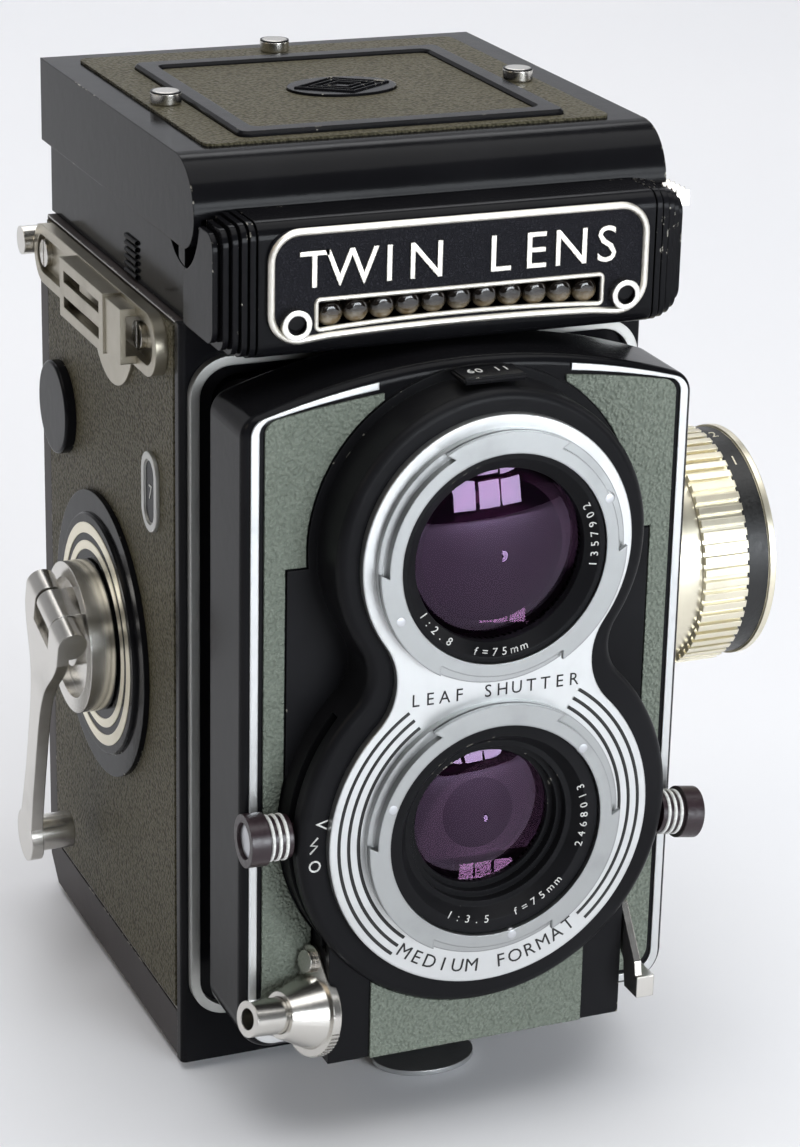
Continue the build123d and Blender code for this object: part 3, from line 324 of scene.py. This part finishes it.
coated = glass("coated_glass", (0.50, 0.34, 0.42), (0.86, 0.60, 1.0))
screen = glass("ground_screen", (0.80, 0.83, 0.82), (1.0, 1.0, 1.0), 0.45)
deep = Paint("inner_coating", Specular_Tint=(0.80, 0.30, 0.75), Specular_IOR_Level=0.12, IOR=1.6)
deep_mask = deep.noise(70, 2).ramp(0.3, 0.8)
deep.set(Base_Color=deep.mix(deep_mask, (0.004, 0.001, 0.006), (0.010, 0.002, 0.010)))
deep.set(Roughness=deep_mask * 0.02 + 0.01)
mirror_face = metal("silvered_mirror", (0.86, 0.87, 0.88), 0.01, marks=0.02)

bead_low, bead_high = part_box("meter_window")
beads = Paint("amber_bead", IOR=1.5, Specular_IOR_Level=0.7, Transmission_Weight=0.3)
height = beads.add("ShaderNodeSeparateXYZ", {}, {"Vector": beads.place}, "Z")
# Painted light: by height alone, each bead's top is painted dark and its lower part lit amber.
lit = 1 - height.ramp(bead_low.z + 0.0006, bead_low.z + 0.0026)
speckle = beads.noise(900, 3).ramp(0.3, 0.8)
amber = beads.mix(speckle, (0.22, 0.15, 0.07), (0.42, 0.36, 0.26))
beads.set(Base_Color=beads.mix(lit, (0.012, 0.009, 0.007), amber))
beads.set(Roughness=speckle * 0.05 + 0.02)
bead_glass = beads.material
print("glass ready")

# %% [markdown]
# White filling is rubbed into engraved letters and never lies quite evenly. The lever caps are
# a dark aubergine plastic that has dulled.

# %% Fillings and plastic


def filling(name, colour, rough=0.5):
    paint = Paint(name)
    patch = paint.noise(1600, 4).ramp(0.3, 0.7)
    dull = tuple(c * 0.75 for c in colour)
    paint.set(Base_Color=paint.mix(patch, dull, colour))
    paint.set(Roughness=patch * 0.1 + rough)
    paint.bump(patch, 0.00001)
    return paint.material


white_fill = filling("white_filling", (0.80, 0.80, 0.77))
black_fill = filling("black_filling", (0.008, 0.008, 0.008), 0.35)
aubergine = filling("aubergine_plastic", (0.022, 0.010, 0.014), 0.28)
letter_silver = metal("letter_silver", (0.78, 0.75, 0.68), 0.28)
print("fillings ready")

# %% [markdown]
# Each solid of the frame now takes one of these finishes.

# %% Dress the frame
dress = {
    black: "front_casting hood_base hood_lid lens_board nameplate_housing crank_dial side_port_cap",
    plum: "side_covers back_door",
    matt: "body_shell light_cone left_flap right_flap rear_flap magnifier_frame pressure_plate"
    " shutter_blades",
    satin_black: "lens_barrels shutter_housing",
    plate_crackle: "nameplate",
    side_cover: "side_leathers lid_leather door_leather",
    board_cover: "board_leathers",
    aged_nickel: "strap_lugs strap_clips wear_plates",
    nickel: "tripod_socket door_pin lug_screws focus_dial meter_sockets release_collar"
    " release_button sync_lever crank_hub crank_arm crank_handle upper_spool_knob lower_spool_knob",
    turned_chrome: "lens_bayonets",
    satin: "front_plate board_trim door_latch counter_disc",
    old_silver: "front_trim counter_window",
    champagne: "focus_knob",
    brass: "take_up_gear",
    steel: "take_up_spool supply_spool lower_roller upper_roller",
    aubergine: "speed_lever aperture_lever",
    coated: "lens_glasses magnifier_lens",
    bead_glass: "meter_window",
    screen: "ground_glass",
    mirror_face: "mirror",
}
for finish, names in dress.items():
    for node_name in names.split():
        nodes[node_name].data.materials.clear()
        nodes[node_name].data.materials.append(finish)
dressed = sum(len(v.split()) for v in dress.values())
print("dressed", dressed, "of", len(nodes))

# %% [markdown]
# Every fine piece rides on a body of the frame, so that it moves with it. The rings, caps and
# lens elements of a camera are lathe work, and a profile spun about an axis makes them in the
# same way as a lathe does.

# %% Turned pieces


def piece(name, mesh, body, finish, smooth=True):
    """Puts a mesh in the scene, riding on a body."""
    item = bpy.data.objects.new(name, mesh)
    bpy.context.scene.collection.objects.link(item)
    if smooth:
        mesh.polygons.foreach_set("use_smooth", [True] * len(mesh.polygons))
        mesh.set_sharp_from_angle(angle=math.radians(32))
    if finish:
        mesh.materials.append(finish)
    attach(item, body)
    return item


def turned(name, centre, axis, profile, body, finish, steps=96):
    """A profile of (radius, distance along axis) pairs in mm, spun about the axis."""
    along = Vector(axis).normalized()
    across = along.orthogonal().normalized()
    other = along.cross(across)
    build = bmesh.new()
    rings = []
    for radius, distance in profile:
        ring = []
        for step in range(steps):
            angle = 2 * math.pi * step / steps
            out = across * math.cos(angle) + other * math.sin(angle)
            ring.append(build.verts.new(Vector(centre) + along * distance * MM + out * radius * MM))
        rings.append(ring)
    for ring, following in zip(rings, rings[1:]):
        for step in range(steps):
            turn = (step + 1) % steps
            build.faces.new((ring[step], ring[turn], following[turn], following[step]))
    bmesh.ops.remove_doubles(build, verts=build.verts, dist=1e-7)
    bmesh.ops.recalc_face_normals(build, faces=build.faces)
    mesh = bpy.data.meshes.new(name)
    build.to_mesh(mesh)
    build.free()
    return piece(name, mesh, body, finish)


print("turned pieces ready")

# %% [markdown]
# Engraved lines and thin frames are wires: a curve with a round section, turned into a mesh.
# Letters come from Blender's own plain font. Each one is placed by itself, because most of
# them stand round a lens.

# %% Wires and letters
SIZE_PER_HEIGHT = 1.37  # font size of a capital one unit high


def baked(item):
    """The mesh of a curve or a text, which is then removed."""
    bpy.context.view_layer.update()
    graph = bpy.context.evaluated_depsgraph_get()
    mesh = bpy.data.meshes.new_from_object(item.evaluated_get(graph))
    mesh.transform(item.matrix_world)
    data = item.data
    bpy.data.objects.remove(item)
    bpy.data.curves.remove(data)
    return mesh


def wire(name, points, radius, body, finish, closed=False):
    """A round wire of a radius in mm through points in metres."""
    curve = bpy.data.curves.new(name, "CURVE")
    curve.dimensions = "3D"
    curve.bevel_depth = radius * MM
    curve.bevel_resolution = 3
    line = curve.splines.new("POLY")
    line.points.add(len(points) - 1)
    for spot, place in zip(line.points, points):
        spot.co = (*place, 1)
    line.use_cyclic_u = closed
    item = bpy.data.objects.new(name, curve)
    bpy.context.scene.collection.objects.link(item)
    return piece(name, baked(item), body, finish)


def letters(name, words, height, spots, depth, body, finish):
    """One mesh of separate letters. Each spot is a matrix that takes a letter to its place."""
    build = bmesh.new()
    for letter, spot in zip(words, spots):
        if letter == " ":
            continue
        text = bpy.data.curves.new(name, "FONT")
        text.body = letter
        text.size = height * SIZE_PER_HEIGHT * MM
        text.extrude = depth * MM
        text.resolution_u = 3
        text.align_x = "CENTER"
        item = bpy.data.objects.new(name, text)
        bpy.context.scene.collection.objects.link(item)
        mesh = baked(item)
        mesh.transform(spot)
        build.from_mesh(mesh)
        bpy.data.meshes.remove(mesh)
    mesh = bpy.data.meshes.new(name)
    build.to_mesh(mesh)
    build.free()
    mesh.materials.clear()
    return piece(name, mesh, body, finish, smooth=False)


print("wires and letters ready")

# %% [markdown]
# Letters lie either on a level line or round a lens axis. A few short functions work out their
# places, so that a word can be moved by changing one angle.

# %% Places on the front
FRONT = Matrix.Rotation(math.radians(90), 4, "X")


def straight(words, middle, pitch, thin=1.0):
    """Places for letters on a level line on a face that looks forward."""
    shift = (len(words) - 1) / 2
    scale = Matrix.Diagonal((thin, 1, 1, 1))
    spots = []
    for i in range(len(words)):
        place = Vector(middle) + Vector(((i - shift) * pitch * MM, 0, 0))
        spots.append(Matrix.Translation(place) @ FRONT @ scale)
    return spots


def on_circle(centre, radius, degrees, y):
    """A point on a circle that faces forward. Degrees go from the right, turning upward."""
    angle = math.radians(degrees)
    x = centre.x + radius * MM * math.cos(angle)
    return Vector((x, y, centre.z + radius * MM * math.sin(angle)))


def around(words, centre, radius, start, pitch, y):
    """Places for letters that stand round a lens axis with their feet outward."""
    spots = []
    for i in range(len(words)):
        degrees = start + i * pitch
        place = on_circle(centre, radius, degrees, y)
        lean = math.radians(degrees) + math.pi / 2
        spots.append(Matrix.Translation(place) @ Matrix.Rotation(-lean, 4, "Y") @ FRONT)
    return spots


def arc(centre, radius, low, high, y, steps=40):
    """Points along part of a circle that faces forward."""
    return [on_circle(centre, radius, low + (high - low) * i / steps, y) for i in range(steps + 1)]


print("places ready")

# %% [markdown]
# The front plate names the kind of shutter between the lenses, and three black bands run
# round each side of the lower lens. They are engraved and filled, so they are thin wires sunk
# half way in the metal.

# %% Front plate bands and lettering
for side, low, high in (("right", -50, 56), ("left", 124, 230)):
    for band, radius in enumerate((20.7, 22.2, 23.7)):
        start = low + (band if side == "right" else 0)
        span = arc(taking, radius, start, high, plate_y + 0.00022)
        wire(f"plate_band_{side}_{band}", span, 0.36, "lens_carrier", black_fill)
waist = Vector((0, plate_y, (taking.z + viewing.z) / 2 - 0.0005))
words = "LEAF SHUTTER"
spots = straight(words, waist, 2.25, 0.95)
letters("shutter_words", words, 2.0, spots, 0.05, "lens_carrier", black_fill)
words = "MEDIUM FORMAT"
spots = around(words, taking, 23.4, -126, 6.0, plate_y)
letters("format_words", words, 2.2, spots, 0.05, "lens_carrier", black_fill)
print("bands and words on the front plate")

# %% [markdown]
# At the left of the black ring stand three signs for the flash: a letter, a bolt and a bulb.
# They are raised a hair from the paint and white.

# %% Flash signs
SIGN_RADIUS = 27.0
spots = around("V", taking, SIGN_RADIUS, 172, 0, ring_y)
letters("flash_letter", "V", 1.9, spots, 0.05, "lens_carrier", white_fill)
bolt_at = on_circle(taking, SIGN_RADIUS, 179, ring_y - 0.00005)
zigzag = ((0.6, 1.2), (-0.5, 0.1), (0.5, -0.1), (-0.6, -1.2))
bolt = [bolt_at + Vector((x * MM, 0, z * MM)) for x, z in zigzag]
wire("flash_symbol", bolt, 0.14, "lens_carrier", white_fill)
bulb_at = on_circle(taking, SIGN_RADIUS, 186, ring_y - 0.00005)
bulb = []
for step in range(12):
    turn = step * 0.52
    bulb.append(bulb_at + Vector((math.cos(turn), 0, math.sin(turn))) * 0.8 * MM)
wire("bulb_symbol", bulb, 0.14, "lens_carrier", white_fill, True)
print("flash signs")

# %% [markdown]
# The rim of each barrel carries its focal length and aperture in small white figures. They
# face forward on the flat black ring just inside the bayonet.

# %% Ring figures
ring_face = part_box("lens_barrels")[0].y
for name, words, centre, radius, start in (
    ("taking_figures", "1:3.5  f=75mm", taking, 14.9, -118),
    ("taking_serial", "2468013", taking, 14.9, -18),
    ("viewing_figures", "1:2.8  f=75mm", viewing, 14.6, -150),
    ("viewing_serial", "1357902", viewing, 14.6, -10),
):
    face = ring_face + (0.0004 if "taking" in name else 0.0002)
    spots = around(words, centre, radius, start, 6.2, face)
    letters(name, words, 1.25, spots, 0.04, "lens_carrier", white_fill)
screw = [(0, 1.3), (0.7, 1.2), (0.95, 0.9), (0.95, -0.4)]
screws = ((viewing, 25), (viewing, 205), (taking, 40), (taking, 160), (taking, 280))
for number, (centre, angle) in enumerate(screws):
    spot = on_circle(centre, 17.4, angle, plate_y - 0.0010)
    name = f"ring_screw_{number}"
    turned(name, spot, (0, -1, 0), screw, "lens_carrier", steel, 24)
print("ring figures and screws")

# %% [markdown]
# Behind each front glass sits a second coated element, which gives the deep violet glow. It is
# a dome, turned from a short profile.

# %% Inner elements
DOME_RISE = 3.0
for name, centre, radius, depth in (
    ("viewing_inner", viewing, 12.6, 5.5),
    ("taking_inner", taking, 10.3, 8.6),
):
    angles = [math.radians(a) for a in range(0, 91, 6)]
    dome = [(radius * math.cos(a), -depth + DOME_RISE * math.sin(a)) for a in angles]
    middle = Vector((0, plate_y, centre.z))
    turned(name, middle, (0, -1, 0), dome, "lens_carrier", deep.material)
print("inner elements placed")

# %% [markdown]
# A silver line frames the nameplate and another the meter window. Both are flat strips that
# stand a little proud of the crackle paint. The raised letters say what kind of camera it is.

# %% Nameplate
name_low, name_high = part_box("nameplate")
name_y = name_low.y


def rounded(half, low, high, corner, y, sag=0.0):
    """Points round a window with round corners and a slightly arched lower edge."""
    points = []
    inner = half - corner
    corners = ((inner, high - corner, 0), (-inner, high - corner, 90))
    corners += ((-inner, low + corner, 180), (inner, low + corner, 270))
    for cx, cz, begin in corners:
        for step in range(9):
            turn = math.radians(begin + step * 11.25)
            points.append(Vector((cx + corner * math.cos(turn), y, cz + corner * math.sin(turn))))
        if begin == 180:
            for step in range(1, 12):
                x = -half + corner + (2 * half - 2 * corner) * step / 12
                points.append(Vector((x, y, low + sag * (1 - (x / half) ** 2))))
    return points


outline = rounded(0.0287, name_low.z + 0.0004, name_high.z - 0.0003, 0.0042, name_y, 0.0008)
wire("nameplate_outline", outline, 0.55, "camera_body", letter_silver, True)
bead_low, bead_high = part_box("meter_window")
window = rounded(0.0220, bead_low.z - 0.0001, bead_high.z - 0.0002, 0.0006, name_y, 0.0007)
wire("meter_outline", window, 0.35, "camera_body", letter_silver, True)
words = "TWIN LENS"
spots = straight(words, Vector((0, name_y, 0.1276)), 5.6)
letters("plate_words", words, 5.6, spots, 0.3, "camera_body", letter_silver)
print("nameplate lettering", len(words))

# %% [markdown]
# The levers' shanks have three white rings each, and their caps end in a shallow grey disc.

# %% Lever rings
RING_START = 30.4
RING_PITCH = 1.05
cap_disc = [(0, 35.9), (1.6, 35.9), (2.4, 35.8), (2.6, 35.6)]
for name, joint, side, tilt in (
    ("speed", "speed_lever", -1, 1.5),
    ("aperture", "aperture_lever", 1, -9.0),
):
    lean = math.radians(tilt)
    way = Vector((side * math.cos(lean), 0, math.sin(lean)))
    root = Vector((0, (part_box(joint)[0].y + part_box(joint)[1].y) / 2, taking.z))
    for ring in range(3):
        at = RING_START + ring * RING_PITCH
        band = [(3.25, at), (3.42, at + 0.10), (3.42, at + 0.45), (3.25, at + 0.55)]
        turned(f"{name}_ring_{ring}", root, way, band, joint, white_fill, 48)
    turned(f"{name}_cap_disc", root, way, cap_disc, joint, steel, 48)
print("lever rings")

# %% [markdown]
# The crank turns over a black dial with two champagne rings.

# %% Crank dial rings
dial_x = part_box("crank_dial")[0].x
middle = Vector((dial_x, crank_at.y, crank_at.z))
for number, (inner, outer) in enumerate(((13.6, 15.0), (16.2, 17.9))):
    band = [(inner, -0.1), (inner, 0.12), (outer, 0.12), (outer, -0.1)]
    name = f"dial_ring_{number}"
    turned(name, middle, (-1, 0, 0), band, "camera_body", champagne)
print("dial rings at x mm", round(dial_x / MM, 2))

# %% [markdown]
# Along the edges of the sides the paint has worn to a pale line, and the leather is framed by
# it. A fine wire on each side makes that line.

# %% Side edge lines
LINE_INSET = 0.0002
cover_low, cover_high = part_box("side_covers")
front, rear = cover_low.y + LINE_INSET, cover_high.y - LINE_INSET
foot, head = cover_low.z + LINE_INSET, cover_high.z - LINE_INSET
corners = ((front, foot), (rear, foot), (rear, head), (front, head))
for side in (-1, 1):
    x = side * (cover_high.x - 0.00003)
    points = [Vector((x, y, z)) for y, z in corners]
    wire(f"side_line_{side + 1}", points, 0.16, "camera_body", old_silver, True)
print("edge lines")

# %% [markdown]
# On top of the shutter housing a little window shows the speed and the aperture in white.

# %% Readout window
top_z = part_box("shutter_housing")[1].z
readout_y = (board_y + ring_y) / 2
figure_at = Vector((0, readout_y - 0.0002, top_z + 0.00012))
columns = (-2.6, -1.3, 1.5, 2.8)
spots = [Matrix.Translation(figure_at + Vector((x * MM, 0, 0))) for x in columns]
block = Matrix.Translation((0, readout_y, top_z - 0.0003))
block = block @ Matrix.Diagonal((0.0096, 0.0052, 0.0010, 1))
build = bmesh.new()
bmesh.ops.create_cube(build, size=1.0, matrix=block)
bmesh.ops.bevel(build, geom=list(build.edges), offset=0.0003, segments=3, affect="EDGES")
mesh = bpy.data.meshes.new("readout_frame")
build.to_mesh(mesh)
build.free()
piece("readout_frame", mesh, "lens_carrier", black)
letters("readout_figures", "6011", 1.7, spots, 0.12, "lens_carrier", white_fill)
print("readout window on z mm", round(top_z / MM, 1))

# %% [markdown]
# The focusing knob has a black band near its outer rim, with a small scale in gold figures,
# and a serrated bright rim.

# %% Knob band
knob_low, knob_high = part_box("focus_knob")
face_x = knob_high.x
band = [(17.9, -4.85), (18.07, -4.75), (18.07, -1.15), (17.9, -1.05)]
middle = Vector((face_x, knob_at.y, knob_at.z))
turned("knob_band", middle, (1, 0, 0), band, "focus_knob", black_fill)
for number, word in enumerate("1234567"):
    angle = math.radians(60 + number * 24)
    out = Vector((0, -math.cos(angle), math.sin(angle)))
    place = Vector((face_x - 0.0030, knob_at.y, knob_at.z)) + out * 18.07 * MM
    turn = Matrix((Vector((1, 0, 0)), Vector((1, 0, 0)).cross(out) * -1, out)).transposed().to_4x4()
    spots = [Matrix.Translation(place) @ turn]
    name = f"knob_figure_{number}"
    letters(name, word, 1.9, spots, 0.05, "focus_knob", champagne)
print("knob band")

# %% [markdown]
# The lid's emblem is an ornament of plain lozenges, pressed up from the enamel. Three closed
# wires, one inside the other, make it.

# %% Emblem
emblem = Vector((0, -0.002, lid_box[1].z - 0.0013))
for number, size in enumerate((0.0075, 0.0052, 0.0029)):
    loop = []
    for step in range(4):
        turn = math.radians(step * 90)
        loop.append(emblem + Vector((size * math.cos(turn), size * 0.66 * math.sin(turn), 0)))
    wire(f"emblem_line_{number}", loop, 0.28, "hood_lid", black, True)
print("emblem lines")

# %% [markdown]
# The lid's three posts have bright caps, and the meter's end sockets hold dark milled plugs.
# Both are turned: a cap with a broken edge, and a plug that stops below its socket's rim.

# %% Caps and plugs
cap = [(0, 0.06), (1.9, 0.05), (2.34, -0.25), (2.34, -1.8), (1.6, -1.82)]
for number, (x, y) in enumerate(((-0.0286, -0.0035), (0.0286, -0.0035), (0, 0.0276))):
    top = Vector((x, y, lid_box[1].z))
    turned(f"lid_post_{number}", top, (0, 0, 1), cap, "hood_lid", nickel, 48)
socket_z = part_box("meter_sockets")[0].z + 0.0027
plug = [(0, 0.9), (1.3, 0.85), (1.55, 0.6), (1.55, -0.4)]
for side in (-1, 1):
    centre = Vector((side * 0.0253, name_y, socket_z))
    name = f"meter_plug_{side + 1}"
    turned(name, centre, (0, -1, 0), plug, "camera_body", satin_black, 24)
print("caps and plugs")

# %% [markdown]
# The counter window shows a white figure on black behind its rim. The pane is a single flat
# face with round ends, set back in the rim.

# %% Counter window
PANE_RADIUS = 0.0022
pane_low, pane_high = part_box("counter_window")
middle = (pane_low + pane_high) / 2
pane = []
for step in range(40):
    turn = 2 * math.pi * step / 40
    straight_part = 0.0026 if math.sin(turn) > 0 else -0.0026
    y = middle.y + PANE_RADIUS * math.cos(turn)
    pane.append((y, middle.z + straight_part + PANE_RADIUS * math.sin(turn)))
build = bmesh.new()
build.faces.new([build.verts.new((side_x - 0.0003, y, z)) for y, z in pane])
bmesh.ops.recalc_face_normals(build, faces=build.faces)
mesh = bpy.data.meshes.new("counter_pane")
build.to_mesh(mesh)
build.free()
piece("counter_pane", mesh, "camera_body", black)
SIDE = Matrix((Vector((0, -1, 0)), Vector((0, 0, 1)), Vector((-1, 0, 0)))).transposed().to_4x4()
spot = Matrix.Translation((side_x - 0.00034, middle.y, middle.z - 0.0012)) @ SIDE
letters("counter_figure", "7", 2.4, [spot], 0.02, "camera_body", white_fill)
print("counter figure at", [round(c / MM, 1) for c in middle])

# %% [markdown]
# Six small ribs stand on the hood's left wall where a finger steadies the camera, and a
# serrated catch sticks out behind the nameplate on the right.

# %% Hood ribs and catch
base_low, base_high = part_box("hood_base")
for rib in range(6):
    z = base_low.z + 0.0006 + rib * 0.00105
    line = [Vector((base_low.x - 0.0001, y, z)) for y in (-0.0100, -0.0046)]
    wire(f"hood_rib_{rib}", line, 0.38, "camera_body", satin_black)
teeth = []
for tooth in range(15):
    y = -0.0335 - tooth * 0.0008
    teeth.append((y, 0.1352 if tooth % 2 else 0.1359))
build = bmesh.new()
catch_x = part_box("nameplate_housing")[1].x
outline = teeth + [(-0.0450, 0.1335), (-0.0335, 0.1342)]
faces = [[build.verts.new((catch_x + off, y, z)) for y, z in outline] for off in (-0.0004, 0.0017)]
for face in faces:
    build.faces.new(face)
for i in range(len(outline)):
    j = (i + 1) % len(outline)
    build.faces.new((faces[0][i], faces[0][j], faces[1][j], faces[1][i]))
bmesh.ops.recalc_face_normals(build, faces=build.faces)
mesh = bpy.data.meshes.new("hood_catch")
build.to_mesh(mesh)
build.free()
piece("hood_catch", mesh, "camera_body", nickel, smooth=False)
print("ribs and catch")

# %% [markdown]
# The release plate is knurled round its edge, for a fingernail. Twenty-six small blocks, laid
# side by side along the rim, make the knurl.

# %% Release plate
press = joints["release_press"]
outward = -Vector(press["axis"]).normalized()
across = Vector((-outward.y, outward.x, 0)).normalized() * -1
upward = outward.cross(across)
if upward.z < 0:
    upward = -upward
plate_at = Vector((-24.6, board_y / MM - 4.0, 20.0)) * MM
knurl = bmesh.new()
tooth_size = Matrix.Diagonal((0.00034, 0.00034, 0.00130, 1))
for tooth in range(26):
    angle = math.radians(-170 + tooth * 6.4)
    out = across * math.cos(angle) + upward * math.sin(angle)
    spin = Matrix((out.cross(outward), out, outward)).transposed().to_4x4()
    spot = Matrix.Translation(plate_at + out * 6.6 * MM + outward * 0.7 * MM)
    bmesh.ops.create_cube(knurl, size=1.0, matrix=spot @ spin @ tooth_size)
mesh = bpy.data.meshes.new("release_knurl")
knurl.to_mesh(mesh)
knurl.free()
piece("release_knurl", mesh, "lens_carrier", nickel, smooth=False)
print("release plate faces:", [round(c, 2) for c in outward])

# %% [markdown]
# The table is a pale sweep: a flat floor that bends up into a wall, so that no edge shows
# behind the camera.

# %% Table


def sweep(name, finish):
    build = bmesh.new()
    rows = []
    rest = mounts["rest_face"]["pos_m"][2]
    profile = [(-1.1, rest)]
    for step in range(11):
        turn = math.radians(step * 9)
        profile.append((0.9 + 0.5 * math.sin(turn), rest + 0.5 - 0.5 * math.cos(turn)))
    profile.append((1.4, 3.0))
    for y, z in profile:
        rows.append([build.verts.new((x, y, z)) for x in (-3.0, 3.0)])
    for row, following in zip(rows, rows[1:]):
        build.faces.new((row[0], row[1], following[1], following[0]))
    mesh = bpy.data.meshes.new(name)
    build.to_mesh(mesh)
    build.free()
    mesh.polygons.foreach_set("use_smooth", [True] * len(mesh.polygons))
    mesh.materials.append(finish)
    item = bpy.data.objects.new(name, mesh)
    bpy.context.scene.collection.objects.link(item)
    return item


table = Paint("pale_table")
table_cloud = table.noise(4, 2)
table.set(Base_Color=table.mix(table_cloud, (0.82, 0.83, 0.86), (0.86, 0.86, 0.88)))
table.set(Roughness=table_cloud * 0.1 + 0.6)
sweep("table", table.material)
print("table at z mm", round(mounts["rest_face"]["pos_m"][2] / MM, 2))

# %% [markdown]
# A broad soft light hangs overhead and a window glows behind. Six small panes in front give the
# lenses their window reflections, and dim warm fills keep the shaded side readable while the
# black enamel stays black.

# %% Lamps


def lamp(name, place, target, size, power, colour=(1, 1, 1)):
    data = bpy.data.lights.new(name, "AREA")
    data.shape = "RECTANGLE"
    data.size, data.size_y = size
    data.energy = power
    data.color = colour
    item = bpy.data.objects.new(name, data)
    item.location = place
    item.rotation_euler = (Vector(target) - Vector(place)).to_track_quat("-Z", "Y").to_euler()
    bpy.context.scene.collection.objects.link(item)


aim = (0, 0, 0.08)
lamp("window_back", (0.2, 1.0, 1.1), aim, (1.0, 0.3), 2.6, (0.97, 0.98, 1.0))
lamp("ceiling", (0.1, -0.1, 1.9), aim, (2.2, 2.0), 33)
lamp("left_wall", (-1.3, 0.1, 0.9), aim, (0.5, 0.5), 1.6, (1.0, 0.86, 0.68))
lamp("right_wall", (1.2, -0.3, 0.5), aim, (0.4, 0.9), 2.5)
lamp("front_fill", (-0.3, -1.6, 0.9), aim, (0.8, 0.3), 1.5)
for column in (0, 1, 2):
    for row in (0, 1):
        place = (0.12 + column * 0.17, -0.95, 0.16 + row * 0.20)
        lamp(f"pane_{column}{row}", place, aim, (0.14, 0.17), 1.1, (0.90, 0.95, 1.0))

# %% [markdown]
# The room itself is nearly dark to the reflections, so that blacks are deep, and pale where it
# is seen beyond the table.

# %% Room
world = bpy.data.worlds.new("room")
bpy.context.scene.world = world
world.use_nodes = True
sky = world.node_tree
seen = sky.nodes.new("ShaderNodeLightPath")
level = sky.nodes.new("ShaderNodeMapRange")
level.inputs["To Min"].default_value = 0.06
level.inputs["To Max"].default_value = 1.0
sky.links.new(seen.outputs["Is Camera Ray"], level.inputs["Value"])
sky.links.new(level.outputs["Result"], sky.nodes["Background"].inputs["Strength"])
sky.nodes["Background"].inputs["Color"].default_value = (0.94, 0.96, 1.0, 1)

bpy.context.scene.view_settings.view_transform = "Standard"
print("room ready")

# %% [markdown]
# The camera looks down on the left front corner from half a metre away. Its axes were found
# from the places of a few corners, so they are given as they are, as three directions.

# %% Camera
camera = bpy.data.cameras.new("camera")
camera.sensor_fit = "VERTICAL"
camera.sensor_height = 36
camera.lens = 101.86
eye = bpy.data.objects.new("camera", camera)
right = Vector((0.92507, -0.37923, 0.02094))
down = Vector((-0.11620, -0.33507, -0.93500))
ahead = Vector((0.36160, 0.86250, -0.35402))
axes = Matrix((right, -down, -ahead)).transposed().to_4x4()
eye.matrix_world = Matrix.Translation((-0.17862, -0.45520, 0.25000)) @ axes
bpy.context.scene.collection.objects.link(eye)
bpy.context.scene.camera = eye
print("camera at mm", [round(c / MM) for c in eye.location])
